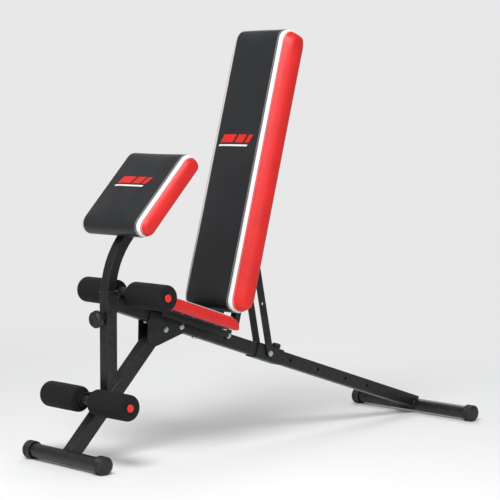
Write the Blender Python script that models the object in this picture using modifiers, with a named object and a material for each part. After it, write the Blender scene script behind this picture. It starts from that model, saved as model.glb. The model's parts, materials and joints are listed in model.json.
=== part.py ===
"""Adjustable sit up bench with an arm curl pad, standing with its backrest upright.

X runs from the front foot to the rear foot, Y across the bench and Z up. The origin is on the floor, midway
between the feet. Lengths are in metres and angles in degrees. Each group of pieces that moves together is
parented to an empty that stands on its joint: x along the group's main piece, z square to it.
"""

import bmesh
import bpy
from math import atan2, cos, degrees, hypot, pi, radians, sin, tan
from mathutils import Matrix, Vector

GAP = 0.0003                # left between pieces that touch
HOLE_CLEARANCE = 0.0003     # of a bolt in its hole

# Feet
FOOT_SPACING = 1.391        # between the axes of the two feet
FRONT_FOOT_WIDTH = 0.356    # over its caps
REAR_FOOT_WIDTH = 0.521
FOOT_AXIS_Z = 0.025
FOOT_RADIUS = 0.020
FOOT_WALL = 0.0018
CAP_WALL = 0.00545
CAP_LENGTH = 0.030
CAP_END = 0.004
CAP_EDGE = 0.003

# Rail, from the post down to the rear foot
RAIL_SIZE = 0.040
RAIL_WALL = 0.002
RAIL_FRONT_Z = 0.444        # height of its centre line at the post's axis
RAIL_REAR_Z = 0.0335        # height of its centre line over the rear foot's axis
RAIL_HOLE_RADIUS = 0.0045
RAIL_HOLES = (0.6182, 0.7140, 0.8361, 0.9615, 1.0615)   # along the rail from the post's axis
UPRIGHT_HOLE = 0            # the hole that the slider is at when the backrest is upright
LOWERED_HOLE = 3            # and when it is level

# Front leg and post
LEG_SIZE = 0.038
LEG_WALL = 0.0015
LEG_ANGLE = 46.4
LEG_FOOT_OFFSET = 0.0075    # of its centre line behind the foot's axis
POST_X = 0.147              # behind the front foot's axis
POST_SIZE = 0.036
POST_WALL = 0.0015
POST_TOP_Z = 0.470
POST_START_Z = 0.100        # before its foot is cut to the leg

# Gusset plates between leg and rail: positions along and square to the rail, from where their axes cross
GUSSET_THICKNESS = 0.003
GUSSET_CORNER = 0.009
GUSSET_FRONT = -0.070
GUSSET_REAR = 0.067
GUSSET_TOP = 0.012
GUSSET_DEPTH = 0.060        # below the rail
GUSSET_FOOT_FRONT = -0.052
GUSSET_FOOT_REAR = -0.019
LEG_BOLT_DEPTH = 0.007      # below the rail
FRAME_BOLT_RADIUS = 0.004

# Foam rollers
FOAM_RADIUS = 0.0365
FOAM_INNER = 0.0350         # from the middle of the bench
FOAM_OUTER = 0.1850
FOAM_CORNER = 0.006
AXLE_RADIUS = 0.0125
AXLE_WALL = 0.0015
FOAM_CLEARANCE = 0.0005
ROLLER_SLEEVE_WALL = 0.0044
UPPER_ROLLER_S = 0.0539     # along the rail
LOWER_ROLLER_X = 0.077      # behind the front foot's axis
LOWER_ROLLER_Z = 0.174
BRACKET_THICKNESS = 0.003
BRACKET_NOSE = 0.019
BRACKET_HEEL = 0.027
BRACKET_HEEL_X = 0.140
BRACKET_HEEL_Z = 0.168
PLUG_RADIUS = 0.0108
PLUG_HEAD = 0.003
PLUG_STEM = 0.015

# Seat and padding in general
PAD_WIDTH = 0.262
BOARD_THICKNESS = 0.012
BOARD_MARGIN = 0.014        # between a board's sides and the pad's
SEAT_START = 0.104          # along the rail
SEAT_LENGTH = 0.288
SEAT_THICKNESS = 0.0406
SEAT_TOP_ROUND = 0.032
SEAT_BOTTOM_ROUND = 0.005
PAD_SHOULDER = 0.010
SEAT_BRACKET_START = 0.144
SEAT_BRACKET_END = 0.407
SEAT_BRACKET_WIDTH = 0.065
SEAT_BRACKET_LIP = 0.018
SHEET = 0.003
SEAT_BOLTS = (0.150, 0.337)
SEAT_BOLT_RADIUS = 0.0035
SEAT_BOLT_GRIP = 0.0095     # in the board

# Backrest
HINGE_S = 0.4431            # along the rail
HINGE_RISE = 0.012          # above the rail's centre line
UPRIGHT_ANGLE = 75.2
LOWERED_ANGLE = 0.0
BACK_RAIL_SIZE = 0.020
BACK_RAIL_WALL = 0.0015
BACK_RAIL_START = 0.022     # from the hinge
BACK_RAIL_END = 0.725
EAR_START = 0.012           # before the hinge
EAR_END = 0.100
EAR_JOG = 0.020             # where it bends out to the backrest's rail
CROSSBAR = 0.600
STRUT_PIVOT = 0.328         # from the hinge
BACK_PAD_START = 0.062      # from the hinge, backrest upright
BACK_PAD_LENGTH = 0.851
BACK_PAD_THICKNESS = 0.077
PAD_END_ROUND = 0.030
SADDLES = (0.200, 0.640)
SADDLE_LENGTH = 0.060
SADDLE_LIP = 0.014
SADDLE_CLEARANCE = 0.0012
SADDLE_THICKNESS = 0.0071

# Strut and slider
STRUT_WIDTH = 0.024
STRUT_THICKNESS = 0.0045
STRUT_HOLE_RADIUS = 0.0045
STRUT_CLEARANCE = 0.001     # to the slider and to the backrest's rails
STRUT_BOLT_RADIUS = 0.0045
SLEEVE_CLEARANCE = 0.0004
SLEEVE_WALL = 0.003
SLEEVE_FRONT = 0.050        # before its pin hole
SLEEVE_REAR = 0.058
SLIDER_KNOB_X = 0.042       # behind its pin hole
SLIDER_KNOB_RADIUS = 0.014
SLIDER_KNOB_SKIRT = 0.0005
SLIDER_KNOB_TOP = 0.016
SLIDER_KNOB_ROOF = 0.0035
SLIDER_PIN_RADIUS = 0.003

# Arm curl post
CURL_CLEARANCE = 0.0005
CURL_WALL = 0.0015
CURL_BOTTOM_Z = 0.250
CURL_BEND_Z = 0.460
CURL_BEND_RADIUS = 0.245
CURL_BEND_ANGLE = 43.0
CURL_ARM = 0.140            # straight length under the pad
CURL_HOLES = (0.0, 0.050, 0.100)
CURL_PLATE_START = 0.010
CURL_PLATE_END = 0.130
CURL_PLATE_WIDTH = 0.084
CURL_PAD_START = -0.033
CURL_PAD_LENGTH = 0.291
CURL_PAD_THICKNESS = 0.058
CURL_PAD_WIDTH = 0.292
CURL_PAD_ROUND = 0.026
POST_KNOB_Z = 0.398
POST_KNOB_RADIUS = 0.025
POST_KNOB_SKIRT = 0.012     # from the post's face
POST_KNOB_TOP = 0.037
POST_KNOB_ROOF = 0.0045
POST_BOSS_RADIUS = 0.010
POST_BOSS_BORE = 0.0075
POST_BOSS_LENGTH = 0.025
POST_BOSS_END = 0.002
POST_BOSS_EDGE = 0.001
POST_PIN_RADIUS = 0.004
POST_COLLAR_TOP = 0.0023
SPRING_WIRE_RADIUS = 0.0005
SPRING_TURNS = 7
KNOB_CLEARANCE = 0.001

# Bolt heads
HEAD_HEIGHT = 0.005
HEAD_EDGE = 0.0035          # of a head beyond its shank

# Sizes that follow from those above
FRONT_X = -FOOT_SPACING / 2
REAR_X = FOOT_SPACING / 2
POST_AXIS_X = FRONT_X + POST_X
RAIL_HALF = RAIL_SIZE / 2
GUSSET_FOOT = -RAIL_HALF - GUSSET_DEPTH
GUSSET_BOLTS = ((-0.0017, -RAIL_HALF - LEG_BOLT_DEPTH), (0.053, -0.0055))
RAIL_TILT = degrees(atan2(RAIL_FRONT_Z - RAIL_REAR_Z, REAR_X - POST_AXIS_X))
RAIL_LENGTH = hypot(RAIL_FRONT_Z - RAIL_REAR_Z, REAR_X - POST_AXIS_X)
CAP_RADIUS = FOOT_RADIUS + GAP + CAP_WALL
SLEEVE_HALF = RAIL_HALF + SLEEVE_CLEARANCE + SLEEVE_WALL
STRUT_INNER_Y = SLEEVE_HALF + STRUT_CLEARANCE
STRUT_OUTER_Y = STRUT_INNER_Y + STRUT_THICKNESS
BACK_RAIL_INNER_Y = STRUT_OUTER_Y + STRUT_CLEARANCE
BACK_RAIL_OUTER_Y = BACK_RAIL_INNER_Y + BACK_RAIL_SIZE
BACK_RAIL_HALF = BACK_RAIL_SIZE / 2
EAR_OUTER_Y = BACK_RAIL_INNER_Y - GAP
BRACKET_INNER_Y = max(LEG_SIZE, POST_SIZE) / 2 + GAP
ROLLER_SLEEVE_RADIUS = AXLE_RADIUS + GAP + ROLLER_SLEEVE_WALL
FOAM_BORE = AXLE_RADIUS + FOAM_CLEARANCE
BACK_PAD_FLOOR = BACK_RAIL_HALF + SADDLE_THICKNESS + 2 * GAP
CURL_TUBE_HALF = POST_SIZE / 2 - POST_WALL - CURL_CLEARANCE
CURL_PLATE_FLOOR = CURL_TUBE_HALF + GAP
CURL_PAD_FLOOR = CURL_PLATE_FLOOR + SHEET + GAP

ROUND = 24                  # sides of a large round piece
SMALL_ROUND = 16            # and of a bolt

ALONG_X = Matrix.Rotation(radians(90), 4, "Y")      # turns z to x
ALONG_Y = Matrix.Rotation(radians(-90), 4, "X")     # turns z to y
IN_XZ = Matrix.Rotation(radians(90), 4, "X")        # stands a flat outline up in the x-z plane
IN_YZ = Matrix(((0, 0, 1, 0), (1, 0, 0, 0), (0, 1, 0, 0), (0, 0, 0, 1)))     # and in the y-z plane
UPSIDE_DOWN = Matrix.Rotation(pi, 4, "X")
SIDES = (("left", 1), ("right", -1))


# ---------------------------------------------------------------- scene, materials and frames

def clear_scene():
    for obj in list(bpy.data.objects):
        bpy.data.objects.remove(obj, do_unlink=True)


def new_collection(name):
    collection = bpy.data.collections.new(name)
    bpy.context.scene.collection.children.link(collection)
    return collection


def new_material(name, colour, roughness, metallic=0.0):
    material = bpy.data.materials.new(name)
    material.use_nodes = True
    shader = material.node_tree.nodes["Principled BSDF"]
    shader.inputs["Base Color"].default_value = (*colour, 1.0)
    shader.inputs["Roughness"].default_value = roughness
    shader.inputs["Metallic"].default_value = metallic
    return material


def at(x=0.0, y=0.0, z=0.0):
    return Matrix.Translation((x, y, z))


def new_frame(name, matrix, parent=None):
    """An empty at a place in the world, kept under its parent."""
    empty = bpy.data.objects.new(name, None)
    empty.empty_display_size = 0.05
    BENCH.objects.link(empty)
    if parent:
        empty.parent = parent
        matrix = world_of(parent).inverted() @ matrix
    empty.matrix_basis = matrix
    return empty


def world_of(obj):
    return world_of(obj.parent) @ obj.matrix_basis if obj.parent else obj.matrix_basis.copy()


def outwards(side):
    """Turns z to y on the left side of the bench, and to -y on its right."""
    return Matrix.Rotation(radians(-90 * side), 4, "X")


def tilted(point, angle):
    """A frame at a point in the x-z plane, its x axis pointing down by the angle."""
    return at(point.x, 0, point.z) @ Matrix.Rotation(radians(angle), 4, "Y")


def rail_point(s, n=0.0):
    """The point s along the rail from the post's axis and n above the rail's centre line."""
    tilt = radians(RAIL_TILT)
    along = Vector((cos(tilt), 0, -sin(tilt)))
    return Vector((POST_AXIS_X, 0, RAIL_FRONT_Z)) + s * along + n * Vector((sin(tilt), 0, cos(tilt)))


def leg_crossing():
    """Where the leg's centre line meets the rail's: (distance up the leg, distance along the rail)."""
    leg, tilt = radians(LEG_ANGLE), radians(RAIL_TILT)
    dx = POST_AXIS_X - (FRONT_X + LEG_FOOT_OFFSET)
    dz = RAIL_FRONT_Z - FOOT_AXIS_Z
    turn = sin(leg + tilt)
    return (dx * sin(tilt) + dz * cos(tilt)) / turn, (dz * cos(leg) - dx * sin(leg)) / turn


def back_point(distance, angle):
    """The point on the backrest's frame that far from the hinge, at a backrest angle."""
    hinge = rail_point(HINGE_S, HINGE_RISE)
    return hinge + distance * Vector((cos(radians(angle)), 0, sin(radians(angle))))


# ---------------------------------------------------------------- pieces

def new_piece(name, mesh, parent, matrix, material):
    piece = bpy.data.objects.new(name, mesh)
    piece.parent = parent
    piece.matrix_basis = matrix
    if material:
        mesh.materials.append(material)
        BENCH.objects.link(piece)
    else:
        CUTTERS.objects.link(piece)
        piece.hide_render = True
        piece.display_type = "WIRE"
    return piece


def mesh_of(bm, name):
    mesh = bpy.data.meshes.new(name)
    bm.to_mesh(mesh)
    bm.free()
    return mesh


def solid_box(bm, low, high, matrix=Matrix()):
    """Adds a box between two corners."""
    low, high = Vector(low), Vector(high)
    size = Matrix.Diagonal((*(high - low), 1))
    bmesh.ops.create_cube(bm, size=1, matrix=matrix @ Matrix.Translation((low + high) / 2) @ size)


def box(name, parent, low, high, material, corner=0.0):
    """A box between a low and a high corner of its parent's frame."""
    bm = bmesh.new()
    solid_box(bm, low, high)
    piece = new_piece(name, mesh_of(bm, name), parent, Matrix(), material)
    if corner:
        bevel = piece.modifiers.new("edges", "BEVEL")
        bevel.width = corner
        bevel.segments = 2
    return piece


def square_tube(name, parent, matrix, size, wall, length, material, corner=0.003):
    """A square tube along z, from 0 to its length."""
    bm = bmesh.new()
    solid_box(bm, (-size / 2, -size / 2, 0), (size / 2, size / 2, length))
    ends = [face for face in bm.faces if abs(face.normal.z) > 0.5]
    bmesh.ops.delete(bm, geom=ends, context="FACES_ONLY")
    return as_tube(new_piece(name, mesh_of(bm, name), parent, matrix, material), wall, corner)


def as_tube(piece, wall, corner):
    bevel = piece.modifiers.new("corners", "BEVEL")
    bevel.width = corner
    bevel.segments = 2
    bevel.limit_method = "ANGLE"
    bevel.angle_limit = radians(50)
    shell = piece.modifiers.new("wall", "SOLIDIFY")
    shell.thickness = wall
    shell.offset = -1
    return piece


def turned(name, parent, matrix, profile, material, hollow=False, steps=SMALL_ROUND):
    """A solid turned about z from (radius, height) points, taken down its outer side."""
    bm = bmesh.new()
    points = [bm.verts.new((radius, 0, height)) for radius, height in profile]
    for pair in zip(points, points[1:]):
        bm.edges.new(pair)
    if hollow:
        bm.edges.new((points[-1], points[0]))
    piece = new_piece(name, mesh_of(bm, name), parent, matrix, material)
    screw = piece.modifiers.new("turn", "SCREW")
    screw.axis = "Z"
    screw.steps = screw.render_steps = steps
    screw.use_merge_vertices = True
    screw.merge_threshold = 0.00001
    return piece


def round_tube(name, parent, matrix, radius, bore, length, material, steps=ROUND):
    """A round tube along z, from 0 to its length."""
    profile = [(bore, 0), (bore, length), (radius, length), (radius, 0)]
    return turned(name, parent, matrix, profile, material, hollow=True, steps=steps)


def bolt(name, parent, matrix, shank, length, material, nut=False):
    """A bolt with its head's seat at z = 0, pointing down z, with or without a nut on its far end."""
    edge = shank + HEAD_EDGE
    profile = [(0, HEAD_HEIGHT), (0.8 * edge, HEAD_HEIGHT), (edge, 0.7 * HEAD_HEIGHT), (edge, 0), (shank, 0)]
    if nut:
        profile += [(shank, -length), (edge, -length), (edge, -length - 0.7 * HEAD_HEIGHT),
                    (0.85 * edge, -length - HEAD_HEIGHT), (shank, -length - HEAD_HEIGHT)]
        length += 1.4 * HEAD_HEIGHT
    profile += [(shank, -length), (0, -length)]
    return turned(name, parent, matrix, profile, material)


def drill(name, parent, radius, length, places):
    """Cutters for round holes, along z and centred on each place."""
    bm = bmesh.new()
    corner = radius / cos(pi / SMALL_ROUND)
    for place in places:
        bmesh.ops.create_cone(bm, cap_ends=True, segments=SMALL_ROUND, radius1=corner, radius2=corner,
                              depth=length, matrix=place)
    return new_piece(name, mesh_of(bm, name), parent, Matrix(), None)


def cut(piece, *cutters, solver="EXACT"):
    for cutter in cutters:
        modifier = piece.modifiers.new(cutter.name, "BOOLEAN")
        modifier.operation = "DIFFERENCE"
        modifier.solver = solver
        modifier.object = cutter
    return piece


def arc(centre, radius, start, end, count):
    """Points on an arc, angles in degrees."""
    angles = [radians(start + (end - start) * i / count) for i in range(count + 1)]
    return [(centre[0] + radius * cos(a), centre[1] + radius * sin(a)) for a in angles]


def ring(centre, radius, count=SMALL_ROUND):
    return arc(centre, radius, 0, 360, count)[:-1]


def rounded(corners, radius):
    """An outline through the corners, taken counter-clockwise, each turned to an arc."""
    outline = []
    for i, corner in enumerate(corners):
        here = Vector(corner)
        back = (Vector(corners[i - 1]) - here).normalized()
        ahead = (Vector(corners[(i + 1) % len(corners)]) - here).normalized()
        half = back.angle(ahead) / 2
        centre = here + (back + ahead).normalized() * radius / sin(half)
        first = (here + back * radius / tan(half)) - centre
        last = (here + ahead * radius / tan(half)) - centre
        start = degrees(atan2(first.y, first.x))
        sweep = (degrees(atan2(last.y, last.x)) - start) % 360
        outline += arc(centre, radius, start, start + sweep, 4)
    return outline


def link(first, first_radius, last, last_radius):
    """The outline of a plate around two round ends."""
    across = Vector(last) - Vector(first)
    heading = degrees(atan2(across.y, across.x))
    spread = degrees(atan2(first_radius - last_radius, across.length))
    return (arc(first, first_radius, heading + 90 - spread, heading + 270 + spread, 8)
            + arc(last, last_radius, heading - 90 + spread, heading + 90 - spread, 8))


def plate(name, parent, matrix, outlines, thickness, material):
    """A flat plate from its outline and its holes, centred on z = 0."""
    curve = bpy.data.curves.new(name, "CURVE")
    curve.dimensions = "2D"
    curve.fill_mode = "BOTH"
    curve.extrude = thickness / 2
    for outline in outlines:
        spline = curve.splines.new("POLY")
        spline.points.add(len(outline) - 1)
        for point, (x, y) in zip(spline.points, outline):
            point.co = (x, y, 0, 1)
        spline.use_cyclic_u = True
    return new_piece(name, curve, parent, matrix, material)


def pad_side(low, high, top_round, bottom_round, inset):
    """A pad's outline seen from its side, drawn in from its ends and its top."""
    start, end, top = low[0] + inset, high[0] - inset, high[2] - inset
    upper = max(min(top_round, (high[2] - low[2]) / 2) - inset, GAP)
    lower = max(min(bottom_round, (high[2] - low[2]) / 2) - inset, GAP)
    return (arc((end - lower, low[2] + lower), lower, -90, 0, 6)
            + arc((end - upper, top - upper), upper, 0, 90, 6)
            + arc((start + upper, top - upper), upper, 90, 180, 6)
            + arc((start + lower, low[2] + lower), lower, 180, 270, 6))


def pad(name, parent, low, high, top_round, bottom_round, material):
    """A plain cushion between two corners, with a shoulder along each of its two sides."""
    bm = bmesh.new()
    half = high[1]
    soft = PAD_SHOULDER
    sections = [(-half, soft), (0.3 * soft - half, 0.3 * soft), (soft - half, 0.0),
                (half - soft, 0.0), (half - 0.3 * soft, 0.3 * soft), (half, soft)]
    loops = [[bm.verts.new((x, y, z)) for x, z in pad_side(low, high, top_round, bottom_round, inset)]
             for y, inset in sections]
    for first, second in zip(loops, loops[1:]):
        for i in range(len(first)):
            bm.faces.new((first[i - 1], first[i], second[i], second[i - 1]))
    bm.faces.new(loops[0])
    bm.faces.new(loops[-1])
    bmesh.ops.remove_doubles(bm, verts=bm.verts, dist=1e-6)
    bmesh.ops.recalc_face_normals(bm, faces=bm.faces)
    return new_piece(name, mesh_of(bm, name), parent, Matrix(), material)


def padded_board(name, parent, start, length, floor, ends, material, width=PAD_WIDTH):
    """The board in a pad's back, and the cutter of its pocket."""
    side = width / 2 - BOARD_MARGIN
    low = Vector((start + ends, -side, floor))
    high = Vector((start + length - ends, side, floor + BOARD_THICKNESS))
    board = box(name, parent, low, high, material)
    room = Vector((GAP, GAP, GAP))
    return board, box(name + "_pocket", parent, low - 2 * room, high + room, None)


def helix(name, parent, matrix, radius, wire, low, high, turns, material):
    """A spring about z."""
    curve = bpy.data.curves.new(name, "CURVE")
    curve.dimensions = "3D"
    curve.bevel_depth = wire
    curve.bevel_resolution = 1
    curve.use_fill_caps = True
    steps = 10 * turns
    spline = curve.splines.new("POLY")
    spline.points.add(steps)
    for i, point in enumerate(spline.points):
        angle = 2 * pi * turns * i / steps
        height = low + wire + (high - low - 2 * wire) * i / steps
        point.co = (radius * cos(angle), radius * sin(angle), height, 1)
    return new_piece(name, curve, parent, matrix, material)


def knob(name, parent, radius, skirt, top, cavity_radius, cavity_top, stem_radius, stem_top, material):
    """A round knob, hollow below for the boss and the stem that it is moulded on."""
    profile = [(0, top), (0.55 * radius, top - 0.03 * radius), (0.86 * radius, top - 0.1 * radius),
               (radius, top - 0.32 * radius), (radius, skirt + 0.1 * radius), (0.9 * radius, skirt),
               (cavity_radius, skirt), (cavity_radius, cavity_top), (stem_radius, cavity_top),
               (stem_radius, stem_top), (0, stem_top)]
    return turned(name, parent, Matrix(), profile, material, steps=ROUND)


# ---------------------------------------------------------------- the bench

def build_feet(steel, plastic):
    inner = FOOT_RADIUS + GAP
    cup = [(0, 0), (CAP_RADIUS - CAP_EDGE, 0), (CAP_RADIUS, -CAP_EDGE), (CAP_RADIUS, -CAP_LENGTH),
           (inner, -CAP_LENGTH), (inner, -CAP_END), (0, -CAP_END)]
    floor = box("floor_cut", BENCH_FRAME, (-FOOT_SPACING, -REAR_FOOT_WIDTH, -FOOT_AXIS_Z),
                (FOOT_SPACING, REAR_FOOT_WIDTH, 0), None)
    for name, x, width in (("front", FRONT_X, FRONT_FOOT_WIDTH), ("rear", REAR_X, REAR_FOOT_WIDTH)):
        tube = width - 2 * (CAP_END + GAP)
        round_tube(name + "_foot", BENCH_FRAME, at(x, -tube / 2, FOOT_AXIS_Z) @ ALONG_Y, FOOT_RADIUS,
                   FOOT_RADIUS - FOOT_WALL, tube, steel)
        for side, sign in SIDES:
            end = at(x, sign * width / 2, FOOT_AXIS_Z) @ outwards(sign)
            cut(turned(name + "_foot_cap_" + side, BENCH_FRAME, end, cup, plastic, steps=ROUND), floor)


def build_rail(rail, steel):
    tube = square_tube("rail", rail, ALONG_X, RAIL_SIZE, RAIL_WALL, RAIL_LENGTH, steel, corner=0.004)
    face = box("rail_front_cut", BENCH_FRAME, (FRONT_X, -RAIL_SIZE, 0),
               (POST_AXIS_X + POST_SIZE / 2 + GAP, RAIL_SIZE, 2 * RAIL_FRONT_Z), None)
    foot = drill("rail_foot_cope", BENCH_FRAME, FOOT_RADIUS + GAP, 3 * RAIL_SIZE,
                 [at(REAR_X, 0, FOOT_AXIS_Z) @ ALONG_Y])
    adjusting = drill("rail_holes", rail, RAIL_HOLE_RADIUS, 2 * RAIL_SIZE,
                      [at(s) @ ALONG_Y for s in RAIL_HOLES])
    s, n = GUSSET_BOLTS[1]
    crossed = [at(HINGE_S, 0, HINGE_RISE) @ ALONG_Y, at(leg_crossing()[1] + s, 0, n) @ ALONG_Y]
    bolted = drill("rail_bolt_holes", rail, FRAME_BOLT_RADIUS + HOLE_CLEARANCE, 2 * RAIL_SIZE, crossed)
    seat = drill("rail_seat_holes", rail, SEAT_BOLT_RADIUS + HOLE_CLEARANCE, 2 * RAIL_SIZE,
                 [at(s) for s in SEAT_BOLTS])
    # so many bores cross in this wall that the exact solver leaves edges open
    cut(tube, face, foot, adjusting, bolted, seat, solver="MANIFOLD")


def build_leg_and_post(rail, steel):
    reach, crossing = leg_crossing()
    leg = new_frame("leg_frame", at(FRONT_X + LEG_FOOT_OFFSET, 0, FOOT_AXIS_Z)
                    @ Matrix.Rotation(radians(-LEG_ANGLE), 4, "Y"), BENCH_FRAME)
    tube = square_tube("front_leg", leg, ALONG_X, LEG_SIZE, LEG_WALL, reach, steel)
    foot = drill("leg_foot_cope", BENCH_FRAME, FOOT_RADIUS + GAP, 3 * LEG_SIZE,
                 [at(FRONT_X, 0, FOOT_AXIS_Z) @ ALONG_Y])
    top = box("leg_top_cut", rail, (0, -LEG_SIZE, -RAIL_HALF - GAP), (2 * crossing, LEG_SIZE, RAIL_SIZE),
              None)
    s, n = GUSSET_BOLTS[0]
    hole = drill("leg_bolt_hole", rail, FRAME_BOLT_RADIUS + HOLE_CLEARANCE, 2 * LEG_SIZE,
                 [at(crossing + s, 0, n) @ ALONG_Y])
    cut(tube, foot, top, hole)

    post_frame = new_frame("post_frame", at(POST_AXIS_X, 0, 0), BENCH_FRAME)
    post = square_tube("lower_post", post_frame, at(z=POST_START_Z), POST_SIZE, POST_WALL,
                       POST_TOP_Z - POST_START_Z, steel)
    under = box("post_foot_cut", leg, (0, -POST_SIZE, -reach), (reach, POST_SIZE, LEG_SIZE / 2 + GAP), None)
    pin = drill("post_pin_hole", post_frame, POST_PIN_RADIUS + HOLE_CLEARANCE, POST_SIZE,
                [at(-POST_SIZE / 2, 0, POST_KNOB_Z) @ ALONG_X])
    cut(post, under, pin)


def build_gussets(rail, steel, zinc):
    """A plate on each side of leg and rail, with a bolt through each."""
    crossing = leg_crossing()[1]
    outline = rounded([(crossing + GUSSET_FRONT, GUSSET_TOP), (crossing + GUSSET_FRONT, -RAIL_HALF),
                       (crossing + GUSSET_FOOT_FRONT, GUSSET_FOOT),
                       (crossing + GUSSET_FOOT_REAR, GUSSET_FOOT), (crossing + GUSSET_REAR, -RAIL_HALF),
                       (crossing + GUSSET_REAR, GUSSET_TOP)], GUSSET_CORNER)
    holes = [ring((crossing + s, n), FRAME_BOLT_RADIUS + HOLE_CLEARANCE) for s, n in GUSSET_BOLTS]
    middle = RAIL_HALF + GAP + GUSSET_THICKNESS / 2
    for side, sign in SIDES:
        plate("gusset_plate_" + side, rail, at(y=sign * middle) @ IN_XZ, [outline] + holes, GUSSET_THICKNESS,
              steel)
    face = RAIL_HALF + GUSSET_THICKNESS + 2 * GAP
    for name, (s, n) in zip(("leg", "rail"), GUSSET_BOLTS):
        bolt("gusset_bolt_" + name, rail, at(crossing + s, -face, n) @ IN_XZ, FRAME_BOLT_RADIUS, 2 * face,
             zinc, nut=True)


def build_rollers(foam, steel, red):
    """Two axles with a foam on each side: the upper in a sleeve on the rail, the lower between plates."""
    upper = tilted(rail_point(UPPER_ROLLER_S, RAIL_HALF + GAP + ROLLER_SLEEVE_RADIUS), 0)
    lower = at(FRONT_X + LOWER_ROLLER_X, 0, LOWER_ROLLER_Z)
    length = FOAM_OUTER - FOAM_INNER
    foam_profile = [(FOAM_BORE, 0), (FOAM_BORE, length), (FOAM_RADIUS - FOAM_CORNER, length),
                    (FOAM_RADIUS, length - FOAM_CORNER), (FOAM_RADIUS, FOAM_CORNER),
                    (FOAM_RADIUS - FOAM_CORNER, 0)]
    stem = AXLE_RADIUS - AXLE_WALL - GAP
    plug_profile = [(0, PLUG_HEAD), (0.6 * PLUG_RADIUS, PLUG_HEAD), (PLUG_RADIUS, 0.5 * PLUG_HEAD),
                    (PLUG_RADIUS, GAP), (stem, GAP), (stem, -PLUG_STEM), (0, -PLUG_STEM)]
    for name, place in (("upper", upper), ("lower", lower)):
        frame = new_frame(name + "_roller_joint", place, BENCH_FRAME)
        round_tube(name + "_axle", frame, at(y=-FOAM_OUTER) @ ALONG_Y, AXLE_RADIUS, AXLE_RADIUS - AXLE_WALL,
                   2 * FOAM_OUTER, steel)
        for side, sign in SIDES:
            turned("roller_" + name + "_" + side, frame, at(y=sign * FOAM_INNER) @ outwards(sign),
                   foam_profile, foam,
                   hollow=True, steps=ROUND)
            turned("axle_plug_" + name + "_" + side, frame, at(y=sign * FOAM_OUTER) @ outwards(sign),
                   plug_profile, red)
        if name == "upper":
            reach = FOAM_INNER - GAP
            round_tube("roller_sleeve", frame, at(y=-reach) @ ALONG_Y, ROLLER_SLEEVE_RADIUS,
                       AXLE_RADIUS + GAP,
                       2 * reach, steel)
            continue
        heel = (BRACKET_HEEL_X - LOWER_ROLLER_X, BRACKET_HEEL_Z - LOWER_ROLLER_Z)
        outline = link((0, 0), BRACKET_NOSE, heel, BRACKET_HEEL)
        hole = ring((0, 0), AXLE_RADIUS + 2 * GAP, ROUND)
        for side, sign in SIDES:
            plate("roller_bracket_" + side, frame,
                  at(y=sign * (BRACKET_INNER_Y + BRACKET_THICKNESS / 2)) @ IN_XZ,
                  [outline, hole], BRACKET_THICKNESS, steel)


def build_seat(rail, vinyl, wood, steel):
    floor = RAIL_HALF + 2 * GAP
    half = PAD_WIDTH / 2
    cushion = pad("seat_pad", rail, (SEAT_START, -half, floor),
                  (SEAT_START + SEAT_LENGTH, half, floor + SEAT_THICKNESS),
                  SEAT_TOP_ROUND, SEAT_BOTTOM_ROUND, vinyl)
    board, pocket = padded_board("seat_board", rail, SEAT_START, SEAT_LENGTH, floor,
                                 BOARD_MARGIN + SEAT_BOTTOM_ROUND, wood)
    holes = drill("seat_board_holes", rail, SEAT_BOLT_RADIUS + HOLE_CLEARANCE, 2 * (SEAT_BOLT_GRIP + GAP),
                  [at(s, 0, floor) for s in SEAT_BOLTS])
    cut(cushion, pocket)
    cut(board, holes)
    under = RAIL_HALF + GAP
    for name, s in zip(("front", "rear"), SEAT_BOLTS):
        bolt("seat_bolt_" + name, rail, at(s, 0, -under) @ UPSIDE_DOWN, SEAT_BOLT_RADIUS,
             floor + SEAT_BOLT_GRIP + under, steel)
    flange, edge, lip = RAIL_HALF + GAP, SEAT_BRACKET_WIDTH, RAIL_HALF - SEAT_BRACKET_LIP
    outline = [(flange, RAIL_HALF), (flange, RAIL_HALF - SHEET), (edge - SHEET, RAIL_HALF - SHEET),
               (edge - SHEET, lip), (edge, lip), (edge, RAIL_HALF)]
    middle = (SEAT_BRACKET_START + SEAT_BRACKET_END) / 2
    for side, sign in SIDES:
        plate("seat_bracket_" + side, rail, at(middle) @ IN_YZ, [[(sign * y, z) for y, z in outline]],
              SEAT_BRACKET_END - SEAT_BRACKET_START, steel)


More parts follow.
